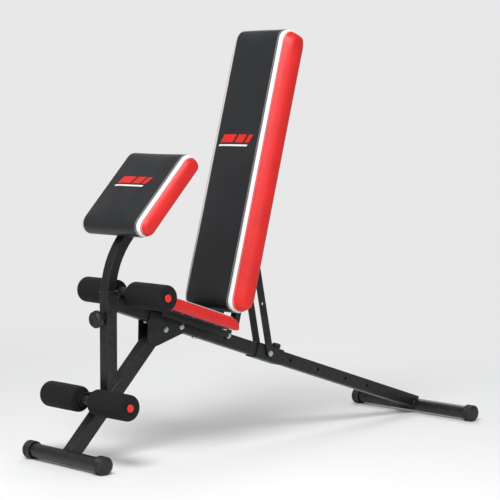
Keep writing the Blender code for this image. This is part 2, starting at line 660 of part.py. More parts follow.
def build_backrest(rail, back, steel, zinc, plastic):
    middle = BACK_RAIL_INNER_Y + BACK_RAIL_HALF
    pivot = drill("back_rail_holes", back, STRUT_BOLT_RADIUS + HOLE_CLEARANCE, 4 * BACK_RAIL_OUTER_Y,
                  [at(STRUT_PIVOT) @ ALONG_Y])
    hinge = drill("hinge_ear_holes", back, FRAME_BOLT_RADIUS + HOLE_CLEARANCE, 4 * EAR_OUTER_Y, [ALONG_Y])
    near, far = RAIL_HALF + GAP, EAR_OUTER_Y - SHEET
    jog = far - near
    ear = [(-EAR_START, near), (EAR_JOG, near), (EAR_JOG + jog, far), (EAR_END, far), (EAR_END, far + SHEET),
           (EAR_JOG + jog - 0.4 * SHEET, far + SHEET), (EAR_JOG - 0.4 * SHEET, near + SHEET),
           (-EAR_START, near + SHEET)]
    for side, sign in SIDES:
        tube = square_tube("back_rail_" + side, back, at(BACK_RAIL_START, sign * middle) @ ALONG_X,
                           BACK_RAIL_SIZE, BACK_RAIL_WALL, BACK_RAIL_END - BACK_RAIL_START, steel,
                           corner=0.002)
        cut(tube, pivot)
        bent = plate("hinge_ear_" + side, back, Matrix(), [[(x, sign * y) for x, y in ear]],
                     BACK_RAIL_SIZE - 2 * GAP, steel)
        cut(as_mesh(bent), hinge)
        box("back_rail_plug_" + side, back,
            (BACK_RAIL_END + GAP, sign * middle - BACK_RAIL_HALF, -BACK_RAIL_HALF),
            (BACK_RAIL_END + GAP + SHEET, sign * middle + BACK_RAIL_HALF, BACK_RAIL_HALF), plastic,
            corner=0.001)
    width = 2 * (BACK_RAIL_INNER_Y - GAP)
    square_tube("back_crossbar", back, at(CROSSBAR, -width / 2) @ ALONG_Y, BACK_RAIL_SIZE - 2 * GAP,
                BACK_RAIL_WALL, width, steel, corner=0.002)
    face = near + SHEET + GAP
    bolt("hinge_bolt", rail, at(HINGE_S, -face, HINGE_RISE) @ IN_XZ, FRAME_BOLT_RADIUS, 2 * face, zinc,
         nut=True)
    face = BACK_RAIL_OUTER_Y + GAP
    bolt("strut_bolt", back, at(STRUT_PIVOT, -face) @ IN_XZ, STRUT_BOLT_RADIUS, 2 * face, zinc, nut=True)


def as_mesh(piece):
    """The piece as a mesh with its caps welded, for a Boolean, in its parent's frame."""
    graph = bpy.context.evaluated_depsgraph_get()
    mesh = bpy.data.meshes.new_from_object(piece.evaluated_get(graph))
    bm = bmesh.new()
    bm.from_mesh(mesh)
    bmesh.ops.remove_doubles(bm, verts=bm.verts, dist=1e-6)
    bmesh.ops.recalc_face_normals(bm, faces=bm.faces)
    name, parent, matrix = piece.name, piece.parent, piece.matrix_basis.copy()
    material = piece.data.materials[0]
    bpy.data.meshes.remove(mesh)
    bpy.data.objects.remove(piece, do_unlink=True)
    return new_piece(name, mesh_of(bm, name), parent, matrix, material)


def build_back_pad(slide, vinyl, wood, plastic):
    half = PAD_WIDTH / 2
    cushion = pad("back_pad", slide, (BACK_PAD_START, -half, BACK_PAD_FLOOR),
                  (BACK_PAD_START + BACK_PAD_LENGTH, half, BACK_PAD_FLOOR + BACK_PAD_THICKNESS),
                  PAD_END_ROUND, PAD_END_ROUND, vinyl)
    pocket = padded_board("back_board", slide, BACK_PAD_START, BACK_PAD_LENGTH, BACK_PAD_FLOOR,
                          BOARD_MARGIN + PAD_END_ROUND, wood)[1]
    cut(cushion, pocket)
    low, high = BACK_RAIL_HALF + GAP, BACK_RAIL_HALF + GAP + SADDLE_THICKNESS
    lip = BACK_RAIL_OUTER_Y + SADDLE_CLEARANCE
    outline = [(-lip, low), (-lip, low - SADDLE_LIP), (-lip - SHEET, low - SADDLE_LIP), (-lip - SHEET, high),
               (lip + SHEET, high), (lip + SHEET, low - SADDLE_LIP), (lip, low - SADDLE_LIP), (lip, low)]
    for name, x in zip(("lower", "upper"), SADDLES):
        plate("saddle_" + name, slide, at(x) @ IN_YZ, [outline], SADDLE_LENGTH, plastic)


def build_strut(strut, lower_hole, middle_hole, steel):
    outline = link((0, 0), STRUT_WIDTH / 2, (lower_hole, 0), STRUT_WIDTH / 2)
    holes = [ring((0, 0), STRUT_BOLT_RADIUS + HOLE_CLEARANCE)]
    holes += [ring((x, 0), STRUT_HOLE_RADIUS) for x in (middle_hole, lower_hole)]
    middle = (STRUT_INNER_Y + STRUT_OUTER_Y) / 2
    face = STRUT_OUTER_Y + GAP
    for side, sign in SIDES:
        plate("strut_bar_" + side, strut, at(y=sign * middle) @ IN_XZ, [outline] + holes, STRUT_THICKNESS,
              steel)
        bolt("strut_pin_" + side, strut, at(lower_hole, sign * face) @ outwards(sign),
             STRUT_HOLE_RADIUS - GAP,
             face - STRUT_INNER_Y, steel)


def build_slider(slider, steel):
    sleeve = square_tube("slider_sleeve", slider, at(-SLEEVE_FRONT) @ ALONG_X, 2 * SLEEVE_HALF, SLEEVE_WALL,
                         SLEEVE_FRONT + SLEEVE_REAR, steel, corner=0.004)
    side = drill("slider_pin_holes", slider, RAIL_HOLE_RADIUS, 4 * SLEEVE_HALF, [ALONG_Y])
    top = drill("slider_knob_hole", slider, SLIDER_PIN_RADIUS + HOLE_CLEARANCE, SLEEVE_HALF,
                [at(SLIDER_KNOB_X, 0, SLEEVE_HALF)])
    cut(sleeve, side, top)


def build_post_knob(post_face, joint, steel, plastic):
    """The sprung pull pin on the post, z out of the post: boss and spring stay, knob and pin move."""
    inside = POST_BOSS_LENGTH - POST_BOSS_END
    hole = POST_PIN_RADIUS + HOLE_CLEARANCE
    turned("post_boss", post_face, Matrix(),
           [(POST_BOSS_BORE, GAP), (POST_BOSS_BORE, inside), (hole, inside), (hole, POST_BOSS_LENGTH),
            (POST_BOSS_RADIUS - POST_BOSS_EDGE, POST_BOSS_LENGTH),
            (POST_BOSS_RADIUS, POST_BOSS_LENGTH - POST_BOSS_EDGE),
            (POST_BOSS_RADIUS, GAP)], steel, hollow=True)
    helix("post_spring", post_face, Matrix(), (POST_BOSS_BORE + POST_PIN_RADIUS) / 2, SPRING_WIRE_RADIUS,
          POST_COLLAR_TOP + GAP, inside - GAP, SPRING_TURNS, steel)
    collar = POST_BOSS_BORE - HOLE_CLEARANCE
    nose = GAP - POST_WALL - CURL_CLEARANCE
    stem = POST_KNOB_TOP - POST_KNOB_ROOF
    turned("post_pin", joint, Matrix(),
           [(0, stem), (POST_PIN_RADIUS, stem), (POST_PIN_RADIUS, POST_COLLAR_TOP), (collar, POST_COLLAR_TOP),
            (collar, 2 * GAP), (POST_PIN_RADIUS, 2 * GAP), (POST_PIN_RADIUS, nose), (0, nose)], steel)
    knob("post_knob", joint, POST_KNOB_RADIUS, POST_KNOB_SKIRT, POST_KNOB_TOP,
         POST_BOSS_RADIUS + KNOB_CLEARANCE,
         POST_BOSS_LENGTH + KNOB_CLEARANCE, POST_PIN_RADIUS + GAP, stem + GAP, plastic)


def build_slider_knob(joint, steel, plastic):
    """The pull pin on the slider, z pointing out of its top wall."""
    nose = GAP - SLEEVE_WALL - SLEEVE_CLEARANCE
    stem = SLIDER_KNOB_TOP - SLIDER_KNOB_ROOF
    turned("slider_pin", joint, Matrix(),
           [(0, stem), (SLIDER_PIN_RADIUS, stem), (SLIDER_PIN_RADIUS, nose), (0, nose)], steel)
    knob("slider_knob", joint, SLIDER_KNOB_RADIUS, SLIDER_KNOB_SKIRT, SLIDER_KNOB_TOP,
         SLIDER_PIN_RADIUS + 4 * KNOB_CLEARANCE, stem - SLIDER_KNOB_ROOF, SLIDER_PIN_RADIUS + GAP, stem + GAP,
         plastic)


def build_curl_post(curl, vinyl, wood, steel):
    bm = bmesh.new()
    half = CURL_TUBE_HALF
    corners = [bm.verts.new((x, y, CURL_BOTTOM_Z)) for x, y in ((-half, -half), (half, -half), (half, half),
                                                                (-half, half))]
    edges = [bm.edges.new((corners[i - 1], corners[i])) for i in range(4)]

    def extruded(ring_edges, move):
        made = bmesh.ops.extrude_edge_only(bm, edges=ring_edges)["geom"]
        points = [item for item in made if isinstance(item, bmesh.types.BMVert)]
        bmesh.ops.translate(bm, vec=move, verts=points)
        return [item for item in made if isinstance(item, bmesh.types.BMEdge)]

    top = extruded(edges, (0, 0, CURL_BEND_Z - CURL_BOTTOM_Z))
    points = list({vert for edge in top for vert in edge.verts})
    bent = bmesh.ops.spin(bm, geom=points + top, cent=(CURL_BEND_RADIUS, 0, CURL_BEND_Z), axis=(0, 1, 0),
                          angle=radians(CURL_BEND_ANGLE), steps=8)["geom_last"]
    last = [item for item in bent if isinstance(item, bmesh.types.BMEdge)]
    turn = radians(CURL_BEND_ANGLE)
    extruded(last, (CURL_ARM * sin(turn), 0, CURL_ARM * cos(turn)))
    bmesh.ops.recalc_face_normals(bm, faces=bm.faces)
    tube = as_tube(new_piece("curl_tube", mesh_of(bm, "curl_tube"), curl, Matrix(), steel), CURL_WALL, 0.003)
    holes = drill("curl_tube_holes", curl, RAIL_HOLE_RADIUS, CURL_TUBE_HALF,
                  [at(-CURL_TUBE_HALF, 0, POST_KNOB_Z - drop) @ ALONG_X for drop in CURL_HOLES])
    cut(tube, holes)

    end = Vector((CURL_BEND_RADIUS * (1 - cos(turn)), 0, CURL_BEND_Z + CURL_BEND_RADIUS * sin(turn)))
    head = new_frame("curl_head", world_of(curl) @ tilted(end, CURL_BEND_ANGLE - 90), curl)
    side = CURL_PLATE_WIDTH / 2
    box("curl_plate", head, (CURL_PLATE_START, -side, CURL_PLATE_FLOOR),
        (CURL_PLATE_END, side, CURL_PLATE_FLOOR + SHEET), steel)
    width = CURL_PAD_WIDTH / 2
    cushion = pad("curl_pad", head, (CURL_PAD_START, -width, CURL_PAD_FLOOR),
                  (CURL_PAD_START + CURL_PAD_LENGTH, width, CURL_PAD_FLOOR + CURL_PAD_THICKNESS),
                  CURL_PAD_ROUND, CURL_PAD_ROUND, vinyl)
    pocket = padded_board("curl_board", head, CURL_PAD_START, CURL_PAD_LENGTH, CURL_PAD_FLOOR,
                          BOARD_MARGIN + CURL_PAD_ROUND, wood, CURL_PAD_WIDTH)[1]
    cut(cushion, pocket)


def main():
    steel = new_material("black_steel", (0.022, 0.023, 0.025), 0.42)
    bright = new_material("zinc", (0.62, 0.68, 0.72), 0.3, 1.0)
    black_plastic = new_material("black_plastic", (0.012, 0.012, 0.013), 0.5)
    red_plastic = new_material("red_plastic", (0.75, 0.035, 0.02), 0.35)
    foam = new_material("black_foam", (0.008, 0.008, 0.008), 0.9)
    vinyl = new_material("padding_vinyl", (0.62, 0.02, 0.018), 0.45)
    wood = new_material("plywood", (0.42, 0.28, 0.16), 0.7)

    rail = new_frame("rail_frame", tilted(rail_point(0), RAIL_TILT), BENCH_FRAME)
    build_feet(steel, black_plastic)
    build_rail(rail, steel)
    build_leg_and_post(rail, steel)
    build_gussets(rail, steel, bright)
    build_rollers(foam, steel, red_plastic)
    build_seat(rail, vinyl, wood, steel)

    curl = new_frame("curl_joint", at(POST_AXIS_X, 0, 0), BENCH_FRAME)
    build_curl_post(curl, vinyl, wood, steel)
    face = at(POST_AXIS_X - POST_SIZE / 2, 0, POST_KNOB_Z) @ Matrix.Rotation(radians(-90), 4, "Y")
    build_post_knob(new_frame("post_face", face, BENCH_FRAME),
                    new_frame("post_knob_joint", face, BENCH_FRAME), steel,
                    black_plastic)

    back = new_frame("backrest_joint", tilted(rail_point(HINGE_S, HINGE_RISE), -UPRIGHT_ANGLE), BENCH_FRAME)
    build_backrest(rail, back, steel, bright, black_plastic)
    build_back_pad(new_frame("back_pad_joint", world_of(back), back), vinyl, wood, black_plastic)

    pivot = back_point(STRUT_PIVOT, UPRIGHT_ANGLE)
    foot = rail_point(RAIL_HOLES[UPRIGHT_HOLE])
    lowered = rail_point(RAIL_HOLES[LOWERED_HOLE]) - back_point(STRUT_PIVOT, LOWERED_ANGLE)
    strut = new_frame("strut_joint", tilted(pivot, degrees(atan2(pivot.z - foot.z, foot.x - pivot.x))), back)
    build_strut(strut, (foot - pivot).length, lowered.length, steel)

    slider = new_frame("slider_joint", tilted(foot, RAIL_TILT), rail)
    build_slider(slider, steel)
    top = world_of(slider) @ at(SLIDER_KNOB_X, 0, SLEEVE_HALF)
    build_slider_knob(new_frame("slider_knob_joint", top, slider), steel, black_plastic)


clear_scene()
BENCH = new_collection("sit_up_bench")
CUTTERS = new_collection("cutters")
BENCH_FRAME = new_frame("bench", Matrix())
main()
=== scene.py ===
"""Looks of the adjustable sit up bench: upholstery, foam, fasteners, finishes and its studio."""

import json

import bmesh
import bpy
from math import atan2, ceil, cos, pi, radians, sin
from mathutils import Matrix, Vector
from mathutils.bvhtree import BVHTree


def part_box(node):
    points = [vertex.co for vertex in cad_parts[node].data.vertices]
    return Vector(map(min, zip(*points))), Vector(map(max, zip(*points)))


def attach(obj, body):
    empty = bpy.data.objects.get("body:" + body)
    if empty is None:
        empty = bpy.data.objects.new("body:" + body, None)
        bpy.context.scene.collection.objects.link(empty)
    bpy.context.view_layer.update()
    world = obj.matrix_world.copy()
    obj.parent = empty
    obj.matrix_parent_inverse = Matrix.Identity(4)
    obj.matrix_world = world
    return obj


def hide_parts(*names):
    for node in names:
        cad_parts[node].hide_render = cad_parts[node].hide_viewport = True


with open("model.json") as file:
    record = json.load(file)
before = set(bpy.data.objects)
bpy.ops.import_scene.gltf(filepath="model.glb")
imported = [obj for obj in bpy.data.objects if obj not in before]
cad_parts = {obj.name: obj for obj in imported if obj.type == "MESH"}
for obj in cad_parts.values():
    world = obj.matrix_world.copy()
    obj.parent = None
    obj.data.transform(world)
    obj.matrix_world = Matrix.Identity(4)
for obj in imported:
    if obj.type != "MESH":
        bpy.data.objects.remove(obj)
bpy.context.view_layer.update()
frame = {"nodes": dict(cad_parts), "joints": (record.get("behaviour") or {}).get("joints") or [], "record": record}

bl_info = {
    "name": "Sit Up Bench",
    "version": (1, 0, 0),
    "blender": (4, 5, 0),
    "location": "3D View > Sidebar > Bench",
    "description": "Upholsters and finishes an adjustable sit up bench",
    "category": "Add Mesh",
}

SIDES = (("left", 1), ("right", -1))
MERGE = 1e-6
ROUND = 48                  # sides of a large round piece
SMALL_ROUND = 24            # and of a small one
GAP = 0.0003                # air that touching pieces keep
ARC = 12                    # steps in a quarter of a pad's outline

CLOTH_FRAMES = 20
CLOTH_PRESSURE = 4.0
GROOVE = 0.0028             # half width of a seam's groove
BAND_SWELL = 0.0006         # how far the white band stands proud between its seams
THREAD = 0.0007             # radius of the sewing thread
BESIDE_SEAM = 0.0035        # from a seam to its row of stitches
UNDER = 0.0015              # height over a pad's underside within which the cover is held
# a pad's side from seam to ridge: how far out, and how far it has fallen to its ridge's size
SIDE_STEPS = ((0.0, 0.0), (0.35, 0.31), (0.70, 0.66), (0.93, 0.92), (1.0, 1.06))

BAR_WIDTHS = (0.056, 0.034, 0.016)
BAR_HEIGHT, BAR_LEAN, BAR_GAP = 0.0240, 0.0130, 0.0095
BARS_LEFT, BARS_FOOT = -0.070, 0.0035
LINE = ((-0.076, -0.0080), (0.125, 0.0055), 0.0030)     # corner, size and lean
PRINT_LIFT, PRINT_THICKNESS = 0.00035, 0.0006

COVER_INSET = 0.012         # from a board's end to the edge of the cloth under it
COVER_MARGIN = 0.020        # from a pad's side to that cloth
STAPLE = (0.011, 0.0011, 0.0008)
STAPLE_INSET = 0.005

HEAD_DEPTH = 0.0050         # of a plain bolt's head in the frame
NUT_DEPTH = 0.0070          # of its nut
NUT = 0.0046                # height of a hexagon nut
HEAD_STEP = 0.0037          # from a head's rim to the shank
CHAMFER = 0.0008            # on a hexagon's corners


# ---------------------------------------------------------------- sizes and colours that a user may change

def length(name, description, default):
    """A length property in metres."""
    return bpy.props.FloatProperty(name=name, description=description, default=default, unit="LENGTH",
                                   precision=4)


def colour(name, description, default):
    """A colour property."""
    return bpy.props.FloatVectorProperty(name=name, description=description, default=default, size=3,
                                         subtype="COLOR", min=0, max=1)


class BenchPadSettings(bpy.types.PropertyGroup):
    band: length("Band", "Width of the white band, across the bench", 0.0100)
    allowance: length("Allowance", "How much smaller than its space a pad starts", 0.0020)
    puff: length("Puff", "The furthest that the cover may swell", 0.0060)
    voxel: length("Voxel", "Mesh size of the cover", 0.0055)
    seam: length("Seam", "Depth of a seam's groove", 0.0016)
    stitch: length("Stitch", "Length of a stitch", 0.0050)
    staple: length("Staple pitch", "Distance between two staples", 0.0400)


class BenchFoamSettings(bpy.types.PropertyGroup):
    edge: length("Edge", "Radius of a roller's rims", 0.0090)
    dish: length("Dish", "Depth of the hollow at a roller's end", 0.0025)
    plug: length("Plug", "Radius of a red end plug", 0.0110)
    plug_proud: length("Plug height", "How far a plug stands out of the foam", 0.0035)


class BenchFixingSettings(bpy.types.PropertyGroup):
    washer: length("Washer", "Thickness of a washer", 0.0014)
    thread: length("Thread", "Bare thread beyond a nut", 0.0035)
    bead: length("Bead", "Radius of a weld bead", 0.0026)
    rib: length("Rib", "Depth of a cap's grip ribs", 0.0011)


class BenchColourSettings(bpy.types.PropertyGroup):
    steel: colour("Steel", "Powder coat", (0.0080, 0.0082, 0.0088))
    vinyl: colour("Vinyl", "Middle of each pad", (0.0120, 0.0125, 0.0140))
    panel: colour("Panel", "Side panels of each pad", (0.700, 0.0110, 0.0090))
    band: colour("Band", "Band between them", (0.880, 0.880, 0.875))
    foam: colour("Foam", "Rollers", (0.0055, 0.0055, 0.0058))
    plug: colour("Plug", "End plugs of the rollers", (0.760, 0.0180, 0.0110))
    plastic: colour("Plastic", "Caps and knobs", (0.0090, 0.0092, 0.0096))
    zinc: colour("Zinc", "Bolts and nuts", (0.560, 0.640, 0.700))
    floor: colour("Floor", "Studio floor", (0.860, 0.860, 0.860))


class BenchStageSettings(bpy.types.PropertyGroup):
    azimuth: bpy.props.FloatProperty(name="Azimuth", description="Camera turned about the bench",
                                     default=radians(-42.0), subtype="ANGLE")
    pitch: bpy.props.FloatProperty(name="Pitch", description="Camera looking down", default=radians(4.27),
                                   subtype="ANGLE")
    distance: length("Distance", "From the camera to the middle of the view", 5.475)
    height: length("Height", "Of the middle of the view", 0.562)
    lens: bpy.props.FloatProperty(name="Lens", description="Focal length", default=132.8, unit="CAMERA")


# ---------------------------------------------------------------- frames of the bench's own pieces

def along(joint):
    """The direction of a joint's axis."""
    return Vector(next(j["axis"] for j in frame["joints"] if j["name"] == joint)).normalized()


def turned_frame(direction, origin=(0, 0, 0)):
    """Placement with x along a direction in the bench's middle plane, y across and z square to both."""
    x = Vector(direction).normalized()
    y = Vector((0, 1, 0))
    z = x.cross(y)
    turn = Matrix((x, y, z)).transposed().to_4x4()
    return Matrix.Translation(Vector(origin)) @ turn


def extent(node, place):
    """A node's lowest and highest corners in a placement's own directions."""
    inverse = place.inverted()
    points = [inverse @ v.co for v in frame["nodes"][node].data.vertices]
    return (Vector(min(p[i] for p in points) for i in range(3)),
            Vector(max(p[i] for p in points) for i in range(3)))


def centre(node):
    """The middle of a node's box."""
    low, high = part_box(node)
    return (low + high) / 2


def widest_normal(node):
    """The outward normal of a node's largest flat side, the one that faces up."""
    areas = {}
    for face in frame["nodes"][node].data.polygons:
        if face.normal.z > 0:
            key = tuple(round(part, 2) for part in face.normal)
            areas[key] = areas.get(key, 0.0) + face.area
    return Vector(max(areas, key=areas.get)).normalized()


def facing(origin, normal):
    """Placement with z along a normal."""
    turn = Vector((0, 0, 1)).rotation_difference(Vector(normal)).to_matrix().to_4x4()
    return Matrix.Translation(Vector(origin)) @ turn


RAIL = turned_frame(along("slider_slide"))
BACK = turned_frame(-along("back_pad_slide"))
CURL_NORMAL = widest_normal("curl_plate")
CURL = turned_frame(Vector((0, 1, 0)).cross(CURL_NORMAL))


# ---------------------------------------------------------------- shader node groups

class Nodes:
    """Short forms for building a node tree."""

    def __init__(self, tree):
        self.tree = tree

    def add(self, kind, **settings):
        node = self.tree.nodes.new(kind)
        for name, value in settings.items():
            setattr(node, name, value)
        return node

    def link(self, source, target):
        self.tree.links.new(source, target)

    def feed(self, socket, value):
        """Links another node's output to a socket, or sets the socket's own value."""
        if isinstance(value, bpy.types.NodeSocket):
            self.link(value, socket)
        else:
            socket.default_value = value

    def set(self, node, **values):
        for name, value in values.items():
            self.feed(node.inputs[name.replace("_", " ")], value)
        return node

    def math(self, operation, first, second=0.0):
        node = self.add("ShaderNodeMath", operation=operation)
        for socket, value in zip(node.inputs, (first, second)):
            self.feed(socket, value)
        return node.outputs[0]

    def ramp(self, factor, low, high, start=0.0, end=1.0):
        node = self.add("ShaderNodeMapRange", interpolation_type="SMOOTHSTEP")
        self.set(node, Value=factor, From_Min=low, From_Max=high, To_Min=start, To_Max=end)
        return node.outputs[0]

    def mix(self, factor, first, second):
        node = self.add("ShaderNodeMix", data_type="RGBA")
        for socket, value in zip((node.inputs[0], node.inputs[6], node.inputs[7]), (factor, first, second)):
            self.feed(socket, value)
        return node.outputs[2]

    def noise(self, vector, scale, detail=3.0, roughness=0.55):
        node = self.add("ShaderNodeTexNoise")
        self.set(node, Vector=vector, Scale=scale, Detail=detail, Roughness=roughness)
        return node.outputs["Fac"]

    def cells(self, vector, scale):
        node = self.add("ShaderNodeTexVoronoi")
        self.set(node, Vector=vector, Scale=scale)
        return node.outputs["Distance"]

    def bump(self, strength, distance, height):
        """The normal of a fine relief."""
        node = self.add("ShaderNodeBump")
        self.set(node, Strength=strength, Distance=distance, Height=height)
        return node.outputs["Normal"]


def node_group(name, inputs, outputs):
    """A shader node group, its inputs as (name, type, default), and short forms to fill it with."""
    group = bpy.data.node_groups.new(name, "ShaderNodeTree")
    for title, kind, default in inputs:
        socket = group.interface.new_socket(name=title, in_out="INPUT", socket_type=kind)
        if default is not None:
            socket.default_value = default
    for title, kind in outputs:
        group.interface.new_socket(name=title, in_out="OUTPUT", socket_type=kind)
    nodes = Nodes(group)
    return group, nodes, nodes.add("NodeGroupInput").outputs, nodes.add("NodeGroupOutput").inputs


VALUE, VECTOR = "NodeSocketFloat", "NodeSocketVector"


def pebble_group():
    """The pressed grain of vinyl: rounded cells with fine creases between them."""
    group, nodes, given, out = node_group(
        "bench_pebble", [("Vector", VECTOR, None), ("Scale", VALUE, 700.0), ("Depth", VALUE, 0.25)],
        [("Normal", VECTOR), ("Crease", VALUE)])
    drift = nodes.noise(given["Vector"], 160.0, 2.0)
    shifted = nodes.add("ShaderNodeVectorMath", operation="MULTIPLY_ADD")
    nodes.link(drift, shifted.inputs[0])
    shifted.inputs[1].default_value = (0.002, 0.002, 0.002)
    nodes.link(given["Vector"], shifted.inputs[2])
    cells = nodes.add("ShaderNodeTexVoronoi", feature="SMOOTH_F1")
    nodes.set(cells, Vector=shifted.outputs[0], Scale=given["Scale"], Smoothness=0.6)
    crease = nodes.ramp(cells.outputs["Distance"], 0.25, 0.75)
    nodes.link(nodes.bump(given["Depth"], 0.0004, nodes.math("SUBTRACT", 1.0, crease)), out["Normal"])
    nodes.link(crease, out["Crease"])
    return group


def speckle_group():
    """Orange peel of a sprayed coat, and a mask of its crests, which the powder coat lightens as painted glints.
    """
    group, nodes, given, out = node_group(
        "bench_speckle", [("Vector", VECTOR, None), ("Scale", VALUE, 900.0), ("Depth", VALUE, 0.2)],
        [("Normal", VECTOR), ("Speck", VALUE)])
    peel = nodes.noise(given["Vector"], given["Scale"], 2.0)
    nodes.link(nodes.bump(given["Depth"], 0.0003, peel), out["Normal"])
    nodes.link(nodes.ramp(peel, 0.55, 0.75), out["Speck"])
    return group


def wear_group():
    """Where an edge is rubbed: convex edges, broken up by a coarse noise."""
    group, nodes, given, out = node_group(
        "bench_wear", [("Vector", VECTOR, None), ("Amount", VALUE, 0.3), ("Scale", VALUE, 60.0)],
        [("Mask", VALUE)])
    geometry = nodes.add("ShaderNodeNewGeometry")
    edge = nodes.ramp(geometry.outputs["Pointiness"], 0.52, 0.62)
    broken = nodes.ramp(nodes.noise(given["Vector"], given["Scale"], 5.0), 0.42, 0.66)
    nodes.link(nodes.math("MULTIPLY", nodes.math("MULTIPLY", edge, broken), given["Amount"]), out["Mask"])
    return group


def dust_group():
    """A faint film that settles on what faces up, in clouds."""
    group, nodes, given, out = node_group(
        "bench_dust", [("Vector", VECTOR, None), ("Amount", VALUE, 0.1), ("Scale", VALUE, 7.0)],
        [("Mask", VALUE)])
    geometry = nodes.add("ShaderNodeNewGeometry")
    parts = nodes.add("ShaderNodeSeparateXYZ")
    nodes.link(geometry.outputs["Normal"], parts.inputs[0])
    up = nodes.ramp(parts.outputs["Z"], 0.1, 1.0)
    clouds = nodes.ramp(nodes.noise(given["Vector"], given["Scale"], 6.0, 0.65), 0.4, 0.75)
    nodes.link(nodes.math("MULTIPLY", nodes.math("MULTIPLY", up, clouds), given["Amount"]), out["Mask"])
    return group


def weave_group():
    """Plain weave in a piece's x-y plane."""
    group, nodes, given, out = node_group(
        "bench_weave", [("Vector", VECTOR, None), ("Scale", VALUE, 900.0), ("Depth", VALUE, 0.5)],
        [("Normal", VECTOR), ("Thread", VALUE)])
    bands = []
    for direction in ("X", "Y"):
        wave = nodes.add("ShaderNodeTexWave", bands_direction=direction)
        nodes.set(wave, Vector=given["Vector"], Scale=given["Scale"], Distortion=0.6, Detail=1.0)
        bands.append(wave.outputs["Fac"])
    thread = nodes.math("MAXIMUM", *bands)
    nodes.link(nodes.bump(given["Depth"], 0.0004, thread), out["Normal"])
    nodes.link(thread, out["Thread"])
    return group


GROUPS = {}


def group_node(nodes, make, **values):
    """Places a shader group, built once, and gives its outputs."""
    if make not in GROUPS:
        GROUPS[make] = make()
    node = nodes.add("ShaderNodeGroup", node_tree=GROUPS[make])
    return nodes.set(node, **values).outputs


# ---------------------------------------------------------------- materials

def shader(name, **plain):
    """A new material, short forms for its tree, its Principled BSDF and the place on the piece."""
    material = bpy.data.materials.new(name)
    material.use_nodes = True
    nodes = Nodes(material.node_tree)
    surface = material.node_tree.nodes["Principled BSDF"]
    nodes.set(surface, **plain)
    place = nodes.add("ShaderNodeTexCoord").outputs["Object"]
    return material, nodes, surface, place


def scaled(rgb, factor):
    """A colour made lighter or darker, with its alpha."""
    return (*(min(1.0, part * factor) for part in rgb), 1.0)


def vinyl(name, rgb, grain=620.0, depth=0.22, roughness=0.40, shine=1.3):
    """Upholstery vinyl: a pressed grain, a slow change of gloss, and painted shade that darkens the grain's
    creases.
    """
    material, nodes, surface, place = shader(name, Specular_IOR_Level=0.5)
    pebble = group_node(nodes, pebble_group, Vector=place, Scale=grain, Depth=depth)
    clouds = nodes.noise(place, 9.0, 4.0)
    tone = nodes.mix(nodes.ramp(clouds, 0.3, 0.7), scaled(rgb, 0.90), scaled(rgb, shine))
    # painted shade: the grain's creases are darkened towards 72% of the colour
    crease_shaded = nodes.mix(nodes.math("MULTIPLY", pebble["Crease"], 0.35), tone, scaled(rgb, 0.72))
    dusty = nodes.mix(group_node(nodes, dust_group, Vector=place, Amount=0.035)["Mask"], crease_shaded,
                      (0.42, 0.41, 0.39, 1.0))
    gloss = nodes.math("ADD", nodes.ramp(clouds, 0.25, 0.75, roughness - 0.04, roughness + 0.06),
                       nodes.math("MULTIPLY", pebble["Crease"], 0.10))
    nodes.set(surface, Base_Color=dusty, Roughness=gloss, Normal=pebble["Normal"])
    return material


def powder_coat(name, rgb):
    """Satin powder coat with orange peel, painted glints on the peel's crests, rubbed a little at its edges."""
    material, nodes, surface, place = shader(name, Specular_IOR_Level=0.38)
    speckle = group_node(nodes, speckle_group, Vector=place, Scale=520.0, Depth=0.12)
    wear = group_node(nodes, wear_group, Vector=place, Amount=0.30)["Mask"]
    clouds = nodes.noise(place, 14.0, 4.0)
    tone = nodes.mix(nodes.ramp(clouds, 0.3, 0.7), scaled(rgb, 0.90), scaled(rgb, 1.15))
    # painted glints: the peel's crests are lightened towards twice the colour
    painted_glints = nodes.mix(nodes.math("MULTIPLY", speckle["Speck"], 0.25), tone, scaled(rgb, 2.0))
    rubbed = nodes.mix(wear, painted_glints, scaled(rgb, 5.0))
    dusty = nodes.mix(group_node(nodes, dust_group, Vector=place, Amount=0.012)["Mask"], rubbed,
                      (0.40, 0.39, 0.37, 1.0))
    nodes.set(surface, Base_Color=dusty, Normal=speckle["Normal"],
              Roughness=nodes.ramp(clouds, 0.25, 0.75, 0.33, 0.40))
    return material


def bright_zinc(name, rgb):
    """Blue-white zinc plate with fine marks from the tumbler."""
    material, nodes, surface, place = shader(name, Metallic=1.0)
    marks = nodes.noise(place, 420.0, 5.0, 0.7)
    clouds = nodes.noise(place, 90.0, 3.0)
    tone = nodes.mix(nodes.ramp(clouds, 0.3, 0.7), scaled(rgb, 0.85), scaled(rgb, 1.2))
    nodes.set(surface, Base_Color=tone, Roughness=nodes.ramp(marks, 0.3, 0.7, 0.20, 0.38),
              Normal=nodes.bump(0.12, 0.0002, marks))
    return material


def moulded_plastic(name, rgb, roughness=0.46, shine=1.5):
    """Moulded plastic with a fine spark-eroded texture and paler, rubbed edges."""
    material, nodes, surface, place = shader(name, Specular_IOR_Level=0.45)
    speckle = group_node(nodes, speckle_group, Vector=place, Scale=1500.0, Depth=0.22)
    wear = group_node(nodes, wear_group, Vector=place, Amount=0.30, Scale=90.0)["Mask"]
    clouds = nodes.noise(place, 30.0, 3.0)
    tone = nodes.mix(nodes.ramp(clouds, 0.3, 0.7), scaled(rgb, 0.9), scaled(rgb, shine))
    rubbed = nodes.mix(wear, tone, scaled(rgb, 3.0))
    nodes.set(surface, Base_Color=rubbed, Normal=speckle["Normal"],
              Roughness=nodes.ramp(speckle["Speck"], 0.0, 1.0, roughness, roughness + 0.12))
    return material


